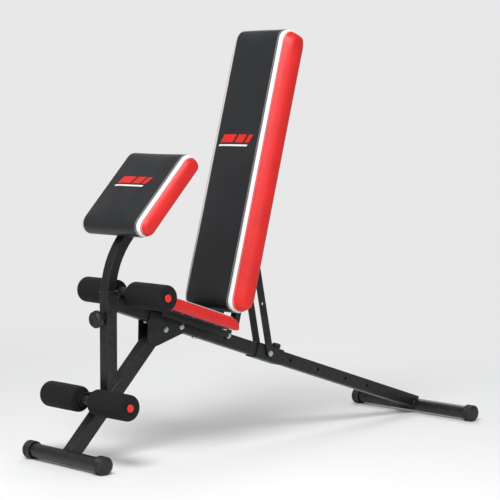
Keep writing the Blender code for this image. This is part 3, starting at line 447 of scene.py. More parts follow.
def closed_cell_foam(name, rgb):
    """Matt foam: open pores on a skin that is slightly uneven, with painted shade in the pores, and lighter where
    the skin swells up.
    """
    material, nodes, surface, place = shader(name, Specular_IOR_Level=0.3)
    pores = nodes.cells(place, 520.0)
    hollow = nodes.ramp(pores, 0.10, 0.45)
    swell = nodes.noise(place, 45.0, 3.0)
    height = nodes.math("ADD", hollow, nodes.math("MULTIPLY", swell, 0.8))
    # painted shade: the pores are darkened to half the colour, and the skin between them is lightened
    tone = nodes.mix(hollow, scaled(rgb, 0.5), scaled(rgb, 1.5))
    nodes.set(surface, Base_Color=nodes.mix(nodes.ramp(swell, 0.35, 0.7), tone, scaled(rgb, 1.9)),
              Roughness=nodes.ramp(swell, 0.3, 0.7, 0.80, 0.95), Normal=nodes.bump(0.55, 0.0006, height))
    return material


def dust_cloth(name, rgb):
    """Thin woven cover under a pad, with painted shade between its threads."""
    material, nodes, surface, place = shader(name, Specular_IOR_Level=0.2)
    weave = group_node(nodes, weave_group, Vector=place, Scale=260.0, Depth=0.5)
    clouds = nodes.noise(place, 25.0, 4.0)
    # painted shade: the gaps between the threads are darkened to 55% of the colour, and the threads are lightened
    tone = nodes.mix(weave["Thread"], scaled(rgb, 0.55), scaled(rgb, 1.4))
    nodes.set(surface, Base_Color=nodes.mix(nodes.ramp(clouds, 0.4, 0.8), tone, scaled(rgb, 1.8)),
              Roughness=nodes.ramp(clouds, 0.3, 0.7, 0.84, 0.95), Normal=weave["Normal"])
    return material


def sewing_thread(name, rgb):
    """Twisted thread, with painted shade in the hollows of its twist."""
    material, nodes, surface, place = shader(name, Specular_IOR_Level=0.3)
    twist = nodes.noise(place, 2600.0, 2.0)
    # painted shade: the low parts of the twist's relief are darkened towards 60% of the colour
    nodes.set(surface, Base_Color=nodes.mix(twist, scaled(rgb, 0.6), scaled(rgb, 1.1)),
              Roughness=nodes.ramp(twist, 0.3, 0.7, 0.55, 0.75), Normal=nodes.bump(0.5, 0.0002, twist))
    return material


def studio_floor(name, rgb):
    """Pale, matt floor with a hardly visible unevenness, which fades into the studio's white."""
    material, nodes, surface, place = shader(name, Specular_IOR_Level=0.1)
    clouds = nodes.noise(place, 0.8, 3.0)
    reach = nodes.add("ShaderNodeVectorMath", operation="LENGTH")
    nodes.link(place, reach.inputs[0])
    nodes.set(surface, Base_Color=nodes.mix(clouds, scaled(rgb, 0.99), scaled(rgb, 1.01)),
              Roughness=nodes.ramp(clouds, 0.3, 0.7, 0.80, 0.90),
              Alpha=nodes.ramp(reach.outputs["Value"], 0.9, 3.2, 1.0, 0.0))
    return material


FINISHES = {
    "black_steel": lambda c: powder_coat("powder_coat", c.steel),
    "zinc_steel": lambda c: bright_zinc("bright_zinc", c.zinc),
    "black_plastic": lambda c: moulded_plastic("black_plastic", c.plastic),
    "red_plastic": lambda c: moulded_plastic("red_plastic", c.plug, roughness=0.34, shine=1.1),
    "black_foam": lambda c: closed_cell_foam("roller_foam", c.foam),
    "black_vinyl": lambda c: vinyl("black_vinyl", c.vinyl),
    "red_vinyl": lambda c: vinyl("red_vinyl", c.panel, roughness=0.38, shine=1.12),
    "white_vinyl": lambda c: vinyl("white_vinyl", c.band, depth=0.12, roughness=0.42, shine=1.02),
    "board": lambda c: dust_cloth("dust_cloth", (0.020, 0.020, 0.021)),
    "thread": lambda c: sewing_thread("sewing_thread", (0.70, 0.70, 0.69)),
    "print_red": lambda c: moulded_plastic("print_red", c.plug, roughness=0.42, shine=1.05),
    "print_white": lambda c: moulded_plastic("print_white", c.band, roughness=0.42, shine=1.02),
    "floor": lambda c: studio_floor("studio_floor", c.floor),
}
MADE = {}


def finish(name):
    """The material of that name, made once."""
    if name not in MADE:
        MADE[name] = FINISHES[name](bpy.context.scene.bench_colours)
    return MADE[name]


# ---------------------------------------------------------------- mesh helpers

def add_piece(name, bm, place, body, slot, look=None, sharp=35.0, merge=MERGE):
    """Puts a finished bmesh into the scene as a piece that rides on a body, with its place in its mesh."""
    bmesh.ops.transform(bm, matrix=place, verts=bm.verts)
    if merge:
        bmesh.ops.remove_doubles(bm, verts=bm.verts, dist=merge)
        bmesh.ops.recalc_face_normals(bm, faces=bm.faces)
    mesh = bpy.data.meshes.new(name)
    bm.to_mesh(mesh)
    bm.free()
    mesh.shade_smooth()
    mesh.set_sharp_from_angle(angle=radians(sharp))
    piece = bpy.data.objects.new(name, mesh)
    bpy.context.scene.collection.objects.link(piece)
    mesh.materials.append(finish(look or slot))
    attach(piece, body)
    return piece


def round_edges(bm, edges, radius, segments):
    """Bevels edges to a round."""
    bmesh.ops.bevel(bm, geom=edges, offset=radius, offset_type="OFFSET", affect="EDGES", segments=segments,
                    profile=0.5, material=-1)


def add_block(bm, low, high, edge=0.0, segments=2):
    """A box between two corners, its edges rounded."""
    low, high = Vector(low), Vector(high)
    place = Matrix.Translation((low + high) / 2) @ Matrix.Diagonal((*(high - low), 1))
    verts = bmesh.ops.create_cube(bm, size=1, matrix=place)["verts"]
    if edge:
        round_edges(bm, list({e for v in verts for e in v.link_edges}), edge, segments)


def add_turned(bm, profile, place=Matrix(), steps=SMALL_ROUND, ring=False):
    """Spins (radius, height) points about z; ring closes the profile of a hollow piece."""
    verts = [bm.verts.new((radius, 0, height)) for radius, height in profile]
    edges = [bm.edges.new(pair) for pair in zip(verts, verts[1:])]
    if ring:
        edges.append(bm.edges.new((verts[-1], verts[0])))
    bmesh.ops.spin(bm, geom=verts + edges, cent=(0, 0, 0), axis=(0, 0, 1), angle=2 * pi, steps=steps,
                   use_merge=True)
    turned = connected(verts)
    bmesh.ops.remove_doubles(bm, verts=turned, dist=MERGE)
    turned = [v for v in turned if v.is_valid]
    faces = list({f for v in turned for f in v.link_faces})
    bmesh.ops.recalc_face_normals(bm, faces=faces)
    bmesh.ops.transform(bm, matrix=place, verts=turned)
    return turned


def connected(verts):
    """Everything that is joined to these vertices."""
    found, border = set(verts), list(verts)
    while border:
        vert = border.pop()
        for edge in vert.link_edges:
            other = edge.other_vert(vert)
            if other not in found:
                found.add(other)
                border.append(other)
    return list(found)


def rounded_profile(points, radius, count=4):
    """A profile with its inner corners turned to arcs, each as large as its two sides let it be."""
    result = [points[0]]
    for before, here, after in zip(points, points[1:], points[2:]):
        corner = Vector(here)
        back, ahead = Vector(before) - corner, Vector(after) - corner
        reach = min(radius, back.length * 0.45, ahead.length * 0.45)
        start, end = corner + back.normalized() * reach, corner + ahead.normalized() * reach
        for i in range(count + 1):
            t = i / count
            point = start * (1 - t) ** 2 + corner * 2 * t * (1 - t) + end * t ** 2
            result.append((point.x, point.y))
    result.append(points[-1])
    return result


def baked(obj):
    """A bmesh of an object as its modifiers leave it; the object is removed."""
    graph = bpy.context.evaluated_depsgraph_get()
    mesh = bpy.data.meshes.new_from_object(obj.evaluated_get(graph))
    bm = bmesh.new()
    bm.from_mesh(mesh)
    bpy.data.meshes.remove(mesh)
    bpy.data.objects.remove(obj, do_unlink=True)
    return bm


def scratch_object(bm):
    """A bmesh as an object for a modifier to work on; the bmesh is freed."""
    mesh = bpy.data.meshes.new("scratch")
    bm.to_mesh(mesh)
    bm.free()
    obj = bpy.data.objects.new("scratch", mesh)
    bpy.context.scene.collection.objects.link(obj)
    return obj


# ---------------------------------------------------------------- pads

PADS = {
    "back": {"place": BACK, "node": "back_pad", "board": "back_board", "body": "backrest_pad", "top": 0.034,
             "bottom": 0.030, "shoulder": 0.036, "slope": 0.018, "ridge": 0.57, "emblem": 0.580},
    "curl": {"place": CURL, "node": "curl_pad", "board": "curl_board", "body": "curl_post", "top": 0.030,
             "bottom": 0.022, "shoulder": 0.024, "slope": 0.013, "ridge": 0.66, "emblem": 0.520},
    "seat": {"place": RAIL, "node": "seat_pad", "board": "seat_board", "body": "frame", "top": 0.030,
             "bottom": 0.003, "shoulder": 0.030, "slope": 0.004, "ridge": 0.76, "emblem": None},
}


def pad_cage(low, high, wrap, pad):
    """The pad before it is stuffed: ends rounded about y, and sides that slope back to a ridge."""
    bm = bmesh.new()
    add_block(bm, (low.x, -wrap, low.z), (high.x, wrap, high.z))
    for z, radius in ((high.z, pad["top"]), (low.z, pad["bottom"])):
        edges = [e for e in bm.edges if all(abs(v.co.z - z) < 1e-5 for v in e.verts)
                 and abs(e.verts[0].co.y - e.verts[1].co.y) > wrap]
        round_edges(bm, edges, radius, 8)
    hub = Vector(((low.x + high.x) / 2, 0, low.z + 0.05 * (high.z - low.z)))
    end_shrink = 1 - pad["slope"] / ((high.x - low.x) / 2)
    for _, sign in SIDES:
        ends = (f for f in bm.faces if abs(f.normal.y) > 0.9)
        face = max(ends, key=lambda f: sign * f.calc_center_median().y)
        for (out, fall), (next_out, next_fall) in zip(SIDE_STEPS, SIDE_STEPS[1:]):
            face = bmesh.ops.extrude_discrete_faces(bm, faces=[face])["faces"][0]
            scales = [(1 - t * (1 - end_shrink), 1 - t * (1 - pad["ridge"])) for t in (fall, next_fall)]
            shrink = (scales[1][0] / scales[0][0], 1, scales[1][1] / scales[0][1])
            bmesh.ops.scale(bm, vec=shrink, space=Matrix.Translation(-hub), verts=face.verts)
            bmesh.ops.translate(bm, vec=(0, sign * (high.y - wrap) * (next_out - out), 0), verts=face.verts)
    bmesh.ops.recalc_face_normals(bm, faces=bm.faces)
    return bm


def stuffed(bm, held, settings):
    """The cage as a fine mesh, swollen by cloth under pressure where held(point) is false."""
    obj = scratch_object(bm)
    remesh = obj.modifiers.new("fine", "REMESH")
    remesh.mode = "VOXEL"
    remesh.voxel_size = settings.voxel
    obj = scratch_object(baked(obj))
    rest = [v.co.copy() for v in obj.data.vertices]
    group = obj.vertex_groups.new(name="held")
    group.add([i for i, point in enumerate(rest) if held(point)], 1.0, "REPLACE")
    cloth = obj.modifiers.new("cover", "CLOTH")
    cloth.settings.vertex_group_mass = "held"
    cloth.settings.quality = 4
    cloth.settings.mass = 0.25
    cloth.settings.tension_stiffness = 8.0
    cloth.settings.compression_stiffness = 8.0
    cloth.settings.bending_stiffness = 1.2
    cloth.settings.use_pressure = True
    cloth.settings.uniform_pressure_force = CLOTH_PRESSURE
    cloth.settings.effector_weights.gravity = 0.0
    scene = bpy.context.scene
    for number in range(1, CLOTH_FRAMES + 1):
        scene.frame_set(number)
    graph = bpy.context.evaluated_depsgraph_get()
    swollen = [v.co.copy() for v in obj.evaluated_get(graph).data.vertices]
    obj.modifiers.remove(cloth)
    scene.frame_set(1)
    for vert, start, end in zip(obj.data.vertices, rest, swollen):
        move = end - start
        if move.length > settings.puff:
            move = move.normalized() * settings.puff
        vert.co = start + move
    smooth = obj.modifiers.new("soft", "SUBSURF")
    smooth.levels = smooth.render_levels = 1
    return baked(obj)


def pinch(bm, seams, settings):
    """Sinks a groove along each seam, and lets the band between two seams stand a little proud."""
    bm.normal_update()
    moves = []
    for vert in bm.verts:
        across = abs(vert.co.y)
        depth = sum(settings.seam * 2.718 ** -(((across - seam) / GROOVE) ** 2) for seam in seams)
        if seams[0] < across < seams[1]:
            depth -= BAND_SWELL * sin(pi * (across - seams[0]) / (seams[1] - seams[0]))
        moves.append(depth)
    for vert, depth in zip(bm.verts, moves):
        vert.co -= vert.normal * depth


def slice_between(source, low, high):
    """The closed part of a pad between two planes square to y."""
    bm = source.copy()
    for y, outer in ((low, False), (high, True)):
        geom = bm.verts[:] + bm.edges[:] + bm.faces[:]
        cut = bmesh.ops.bisect_plane(bm, geom=geom, dist=1e-7, plane_co=(0, y, 0), plane_no=(0, 1, 0),
                                     clear_outer=outer, clear_inner=not outer)["geom_cut"]
        edges = [e for e in cut
                 if isinstance(e, bmesh.types.BMEdge) and e.is_valid and len(e.link_faces) == 1]
        if edges:
            bmesh.ops.holes_fill(bm, edges=edges, sides=0)
    return bm


def walk_round(low, high, top, bottom, pitch):
    """Points and outward directions round a pad's outline, from one end of its underside to the other."""
    arcs = [((low.x + bottom, low.z + bottom), bottom, 270, 180),
            ((low.x + top, high.z - top), top, 180, 90),
            ((high.x - top, high.z - top), top, 90, 0),
            ((high.x - bottom, low.z + bottom), bottom, 0, -90)]
    route = []
    for (x, z), radius, start, end in arcs:
        for i in range(ARC + 1):
            angle = radians(start + (end - start) * i / ARC)
            route.append((Vector((x + radius * cos(angle), 0, z + radius * sin(angle))),
                          Vector((cos(angle), 0, sin(angle)))))
    spaced, travelled = [], 0.0
    for (point, way), (ahead, next_way) in zip(route, route[1:]):
        gap = (ahead - point).length
        while gap > 1e-6 and travelled <= gap:
            t = travelled / gap
            spaced.append((point.lerp(ahead, t), way.lerp(next_way, t).normalized()))
            travelled += pitch
        travelled -= gap
    return spaced


def add_stitches(bm, tree, route, y, settings):
    """A stitch for each point of a route that runs round the pad at one y."""
    for (point, way), (ahead, _) in zip(route, route[1:]):
        start = Vector((point.x, y, point.z))
        hit, normal, _, _ = tree.ray_cast(start + way * 0.03, -way, 0.06)
        if hit is None:
            continue
        run = (Vector((ahead.x, y, ahead.z)) - start).normalized()
        run = (run - normal * run.dot(normal)).normalized()
        side = normal.cross(run)
        turn = Matrix((run, side, normal)).transposed().to_4x4()
        place = Matrix.Translation(hit + normal * THREAD * 0.35) @ turn
        size = Matrix.Diagonal((settings.stitch * 0.72, 2 * THREAD, 1.5 * THREAD, 1))
        verts = bmesh.ops.create_cube(bm, size=1, matrix=place @ size)["verts"]
        top = [v for v in verts if (v.co - hit).dot(normal) > THREAD * 0.5]
        bmesh.ops.scale(bm, vec=(0.72, 0.72, 0.72), space=Matrix.Translation(-hit), verts=top)


def add_emblem(tree, spot, lift, name, place, body):
    """A plain sports mark on the wrap: three slanted bars that get narrower, over a thin line."""
    bars = bmesh.new()
    left = BARS_LEFT
    for width in BAR_WIDTHS:
        add_print(bars, tree, spot, lift, (left, BARS_FOOT), (width, BAR_HEIGHT), BAR_LEAN)
        left += width + BAR_GAP
    add_piece(name + "_emblem_bars", bars, place, body, "red_vinyl", "print_red", merge=None)
    line = bmesh.new()
    add_print(line, tree, spot, lift, *LINE)
    add_piece(name + "_emblem_line", line, place, body, "white_vinyl", "print_white", merge=None)


def add_print(bm, tree, spot, lift, corner, size, lean):
    """A thin slanted bar laid on the pad; across runs against y, so that it reads from the front."""
    columns = max(2, ceil(size[0] / 0.003))
    made = bmesh.ops.create_grid(bm, x_segments=columns, y_segments=6, size=0.5)["verts"]
    for vert in made:
        across = corner[0] + size[0] * (vert.co.x + 0.5) + lean * (vert.co.y + 0.5)
        up = corner[1] + size[1] * (vert.co.y + 0.5)
        start = Vector((spot.x + up, spot.y - across, lift))
        hit = tree.ray_cast(start, Vector((0, 0, -1)), 0.2)[0]
        vert.co = hit + Vector((0, 0, PRINT_LIFT))
    faces = list({f for v in made for f in v.link_faces})
    bmesh.ops.recalc_face_normals(bm, faces=faces)
    if faces[0].normal.z < 0:
        bmesh.ops.reverse_faces(bm, faces=faces)
    bmesh.ops.solidify(bm, geom=faces, thickness=PRINT_THICKNESS)


def staple_places(low, high, pitch, inset):
    """Places round a cover's edge, each with the direction of its edge."""
    across, lengthways = high.y - inset, (low.x + inset, high.x - inset)
    places = []
    count = max(2, round((lengthways[1] - lengthways[0]) / pitch))
    for i in range(count + 1):
        x = lengthways[0] + (lengthways[1] - lengthways[0]) * i / count
        places += [(x, across, 0.0), (x, -across, 0.0)]
    count = max(2, round(2 * across / pitch))
    for i in range(1, count):
        y = -across + 2 * across * i / count
        places += [(lengthways[0], y, pi / 2), (lengthways[1], y, pi / 2)]
    return places


def upholster(name, pad):
    """A pad's cover in five parts, its stitches, its mark and its underside."""
    settings = bpy.context.scene.bench_pads
    place = pad["place"]
    low, high = extent(pad["node"], place)
    small = Vector((settings.allowance, settings.allowance, 0))
    start, end = low + small, high - small - Vector((0, 0, settings.allowance))
    wrap = end.y - pad["shoulder"]
    cage = pad_cage(start, end, wrap, pad)
    seams = (wrap, wrap + settings.band)

    def held(point):
        on_seam = any(abs(abs(point.y) - seam) < 0.6 * settings.voxel for seam in seams)
        return on_seam or point.z < low.z + UNDER

    cover = stuffed(cage, held, settings)
    pinch(cover, seams, settings)
    for vert in cover.verts:
        vert.co.z = max(vert.co.z, low.z)
    tree = BVHTree.FromBMesh(cover)
    far = high.y + 0.05
    parts = [(name + "_wrap", -seams[0], seams[0], "black_vinyl")]
    for side, sign in SIDES:
        band = sorted((sign * seams[0], sign * seams[1]))
        panel = sorted((sign * seams[1], sign * far))
        parts += [(f"{name}_band_{side}", *band, "white_vinyl"),
                  (f"{name}_panel_{side}", *panel, "red_vinyl")]
    for title, near, other, slot in parts:
        piece = add_piece(title, slice_between(cover, near, other), place, pad["body"], slot, sharp=50.0)
        if title.endswith("_wrap"):
            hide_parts(pad["node"])

    stitches = bmesh.new()
    route = walk_round(start, end, pad["top"], pad["bottom"], settings.stitch)
    for y in (seams[0] - BESIDE_SEAM, seams[1] + BESIDE_SEAM):
        for sign in (1, -1):
            add_stitches(stitches, tree, route, sign * y, settings)
    add_piece(name + "_stitches", stitches, place, pad["body"], "white_vinyl", "thread", merge=None)

    if pad["emblem"]:
        spot = Vector((low.x + (high.x - low.x) * pad["emblem"], 0, 0))
        add_emblem(tree, spot, high.z + 0.05, name, place, pad["body"])
    cover.free()
    cover_underside(name, pad, low, settings)


def cover_underside(name, pad, pad_low, settings):
    """The cloth over a pad's board, with the staples that hold it."""
    place = pad["place"]
    low, high = extent(pad["board"], place)
    cloth = bmesh.new()
    edge = extent(pad["node"], place)[1].y - COVER_MARGIN
    corner, other = Vector((low.x + COVER_INSET, -edge, 0)), Vector((high.x - COVER_INSET, edge, 0))
    add_block(cloth, (corner.x, -edge, pad_low.z - 0.0008), (other.x, edge, pad_low.z + 0.0012), 0.0006, 1)
    piece = add_piece(name + "_underside", cloth, place, pad["body"], "board")
    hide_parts(pad["board"])
    staples = bmesh.new()
    for x, y, turn in staple_places(corner, other, settings.staple, STAPLE_INSET):
        spot = Matrix.Translation((x, y, pad_low.z - 0.0011)) @ Matrix.Rotation(turn, 4, "Z")
        bmesh.ops.create_cube(staples, size=1, matrix=spot @ Matrix.Diagonal((*STAPLE, 1)))
    add_piece(name + "_staples", staples, place, pad["body"], "zinc_steel", merge=None)


# ---------------------------------------------------------------- operators

class BenchOperator(bpy.types.Operator):
    """Base of the bench's operators"""
    bl_options = {"REGISTER", "UNDO"}


class BENCH_OT_pads(BenchOperator):
    """Upholsters the backrest, the seat and the arm curl pad"""
    bl_idname = "bench.pads"
    bl_label = "Pads"

    def execute(self, context):
        for name, pad in PADS.items():
            upholster(name, pad)
        return {"FINISHED"}


class BENCH_OT_rollers(BenchOperator):
    """Foam rollers with rounded rims, and their red end plugs"""
    bl_idname = "bench.rollers"
    bl_label = "Rollers"

    def execute(self, context):
        settings = context.scene.bench_foam
        for level in ("upper", "lower"):
            axle_low, axle_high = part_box(level + "_axle")
            bore = (axle_high.z - axle_low.z) / 2 + 0.0004
            for side, sign in SIDES:
                node = f"roller_{level}_{side}"
                low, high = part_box(node)
                middle = centre(node)
                radius, size = (high.z - low.z) / 2, high.y - low.y
                place = facing((middle.x, sign * min(abs(low.y), abs(high.y)), middle.z), (0, sign, 0))
                profile = [(bore, 0.0), (radius, 0.0), (radius + 0.0004, size / 2), (radius, size),
                           (0.45 * radius, size - settings.dish), (bore, size - settings.dish)]
                shape = rounded_profile(profile, settings.edge, 5)
                bm = bmesh.new()
                add_turned(bm, shape, place, ROUND, ring=True)
                piece = add_piece(f"foam_{level}_{side}", bm, Matrix(), node, "black_foam", sharp=60.0)
                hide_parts(node)
                self.plug(settings, level, side, place, size, bore)
        return {"FINISHED"}

    def plug(self, settings, level, side, place, size, bore):
        """A domed red plug with a dimple, and the shank that goes into the axle."""
        edge, proud = settings.plug, settings.plug_proud
        depth = 0.012
        profile = [(0, size + 0.55 * proud), (0.34 * edge, size + 0.55 * proud),
                   (0.42 * edge, size + proud), (0.80 * edge, size + proud),
                   (edge, size + 0.45 * proud), (edge, size + 0.0004),
                   (0.9 * bore - 0.0006, size + 0.0004), (0.86 * bore - 0.0012, size - depth),
                   (0, size - depth)]
        bm = bmesh.new()
        add_turned(bm, rounded_profile(profile, 0.0012, 3), place)
        piece = add_piece(f"plug_{level}_{side}", bm, Matrix(), "frame", "red_plastic", sharp=40.0)
        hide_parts(f"axle_plug_{level}_{side}")


class BENCH_OT_foot_caps(BenchOperator):
    """Ribbed caps over the ends of both feet, flat where they stand"""
    bl_idname = "bench.foot_caps"
    bl_label = "Foot caps"

    def execute(self, context):
        rib = context.scene.bench_fixings.rib
        for end in ("front", "rear"):
            tube_low, tube_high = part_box(end + "_foot")
            bore = (tube_high.z - tube_low.z) / 2 + GAP
            for side, sign in SIDES:
                node = f"{end}_foot_cap_{side}"
                low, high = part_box(node)
                radius, size = (high.x - low.x) / 2, high.y - low.y
                middle = (low + high) / 2
                outer = max(abs(low.y), abs(high.y))
                place = facing((middle.x, sign * outer, high.z - radius), (0, sign, 0))
                profile = [(0, 0), (0.55 * radius, 0), (0.60 * radius, -0.0012), (0.66 * radius, 0),
                           (radius, -0.0035), (radius, -0.0085)]
                for i in range(4):
                    start = -0.0085 - 0.0036 * i
                    profile += [(radius - rib, start - 0.0008), (radius - rib, start - 0.0022),
                                (radius, start - 0.0030)]
                profile += [(radius, -size + 0.0012), (radius - 0.0012, -size), (bore, -size),
                            (bore, -0.0040), (0, -0.0040)]
                bm = bmesh.new()
                add_turned(bm, rounded_profile(profile, 0.0016, 3), place, ROUND)
                for vert in bm.verts:
                    vert.co.z = max(vert.co.z, low.z)
                piece = add_piece(f"cap_{end}_{side}", bm, Matrix(), "frame", "black_plastic")
                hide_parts(node)
        return {"FINISHED"}


class BENCH_OT_knobs(BenchOperator):
    """Lobed knobs for the curl post and for the slider"""
    bl_idname = "bench.knobs"
    bl_label = "Knobs"

    def execute(self, context):
        self.knob("post_grip", "post_knob", Vector((-1, 0, 0)), 8)
        self.knob("slider_grip", "slider_knob", along("slider_knob_pull"), 6)
        return {"FINISHED"}

    def knob(self, title, node, axis, lobes):
        """A turned knob whose rim is drawn in between its lobes; its body has its node's name."""
        place = facing(centre(node), axis)
        low, high = extent(node, place)
        radius, foot, top = high.y, low.z, high.z
        height = top - foot
        hub = extent("post_boss", place)[1].y if node == "post_knob" else 0.32 * radius
        profile = [(0, top - 0.10 * height), (0.34 * radius, top - 0.08 * height), (0.46 * radius, top),
                   (0.80 * radius, top - 0.05 * height), (radius, top - 0.30 * height),
                   (radius, foot + 0.30 * height), (0.90 * radius, foot + 0.06 * height),
                   (0.72 * radius, foot), (hub + 0.0010, foot), (hub + 0.0010, foot + 0.42 * height),
                   (0, foot + 0.42 * height)]
        bm = bmesh.new()
        verts = add_turned(bm, rounded_profile(profile, 0.0030, 3), Matrix(), 8 * lobes)
        for vert in verts:
            reach = vert.co.xy.length
            if reach > 0.82 * radius:
                wave = 0.5 - 0.5 * cos(lobes * atan2(vert.co.y, vert.co.x))
                shrink = 1 - 0.085 * wave * min(1.0, (reach - 0.82 * radius) / (0.12 * radius))
                vert.co.x *= shrink
                vert.co.y *= shrink
        piece = add_piece(title, bm, place, node, "black_plastic", sharp=50.0)
        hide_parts(node)


class BENCH_OT_bolts(BenchOperator):
    """Hexagon bolts, washers and nuts in place of the plain ones"""
    bl_idname = "bench.bolts"
    bl_label = "Bolts"

    def execute(self, context):
        settings = context.scene.bench_fixings
        across = Vector((0, -1, 0))
        for node, body in (("gusset_bolt_leg", "frame"), ("gusset_bolt_rail", "frame"),
                           ("hinge_bolt", "frame"), ("strut_bolt", "backrest")):
            self.through_bolt(node, body, across, settings)
        for side, sign in SIDES:
            self.through_bolt("strut_pin_" + side, "strut", Vector((0, sign, 0)), settings, nut=False)
        for end in ("front", "rear"):
            self.through_bolt("seat_bolt_" + end, "frame", -along("slider_knob_pull"), settings,
                              nut=False)
        return {"FINISHED"}

    def through_bolt(self, node, body, way, settings, nut=True):
        """A bolt with its head at the end that points the way given."""
        place = facing(centre(node), way)
        low, high = extent(node, place)
        head = high.y
        seat = high.z - HEAD_DEPTH
        shank = head - HEAD_STEP
        bm = bmesh.new()
        self.washer(bm, head * 1.12, shank, seat, settings.washer)
        self.hexagon(bm, head * 0.98, seat + settings.washer, high.z)
        if nut:
            far = low.z + NUT_DEPTH - settings.washer
            self.washer(bm, head * 1.12, shank, far, settings.washer)
            self.hexagon(bm, head * 0.98, far - NUT, far)
            end = far - NUT - settings.thread
            add_turned(bm, [(0, end + settings.thread), (shank, end + settings.thread + 0.0005),
                            (shank, end + 0.0008), (shank - 0.0008, end), (0, end)][::-1])
        top, tip = seat + settings.washer, low.z + (0.0060 if nut else 0.0)
        add_turned(bm, [(0, top), (shank, top), (shank, tip), (0, tip)])
        piece = add_piece(node + "_set", bm, place, body, "zinc_steel", sharp=30.0, merge=None)
        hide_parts(node)

    def washer(self, bm, radius, bore, base, thickness):
        """A flat ring whose upper rim is eased."""
        ease = 0.0003
        profile = [(bore, base), (bore, base + thickness), (radius - ease, base + thickness),
                   (radius, base + thickness - ease), (radius, base)]
        add_turned(bm, profile, ring=True)

    def hexagon(self, bm, radius, base, top):
        """A hexagonal prism whose corners are turned off at both ends."""
        made = bmesh.ops.create_cone(bm, cap_ends=True, segments=6, radius1=radius, radius2=radius,
                                     depth=top - base - 2 * CHAMFER,
                                     matrix=Matrix.Translation((0, 0, (top + base) / 2)))["verts"]
        for end_radius, height in ((0.90 * radius, -1), (0.86 * radius, 1)):
            faces = [f for f in {f for v in made for f in v.link_faces} if f.normal.z * height > 0.9]
            bmesh.ops.inset_region(bm, faces=faces, thickness=radius - end_radius, depth=CHAMFER)


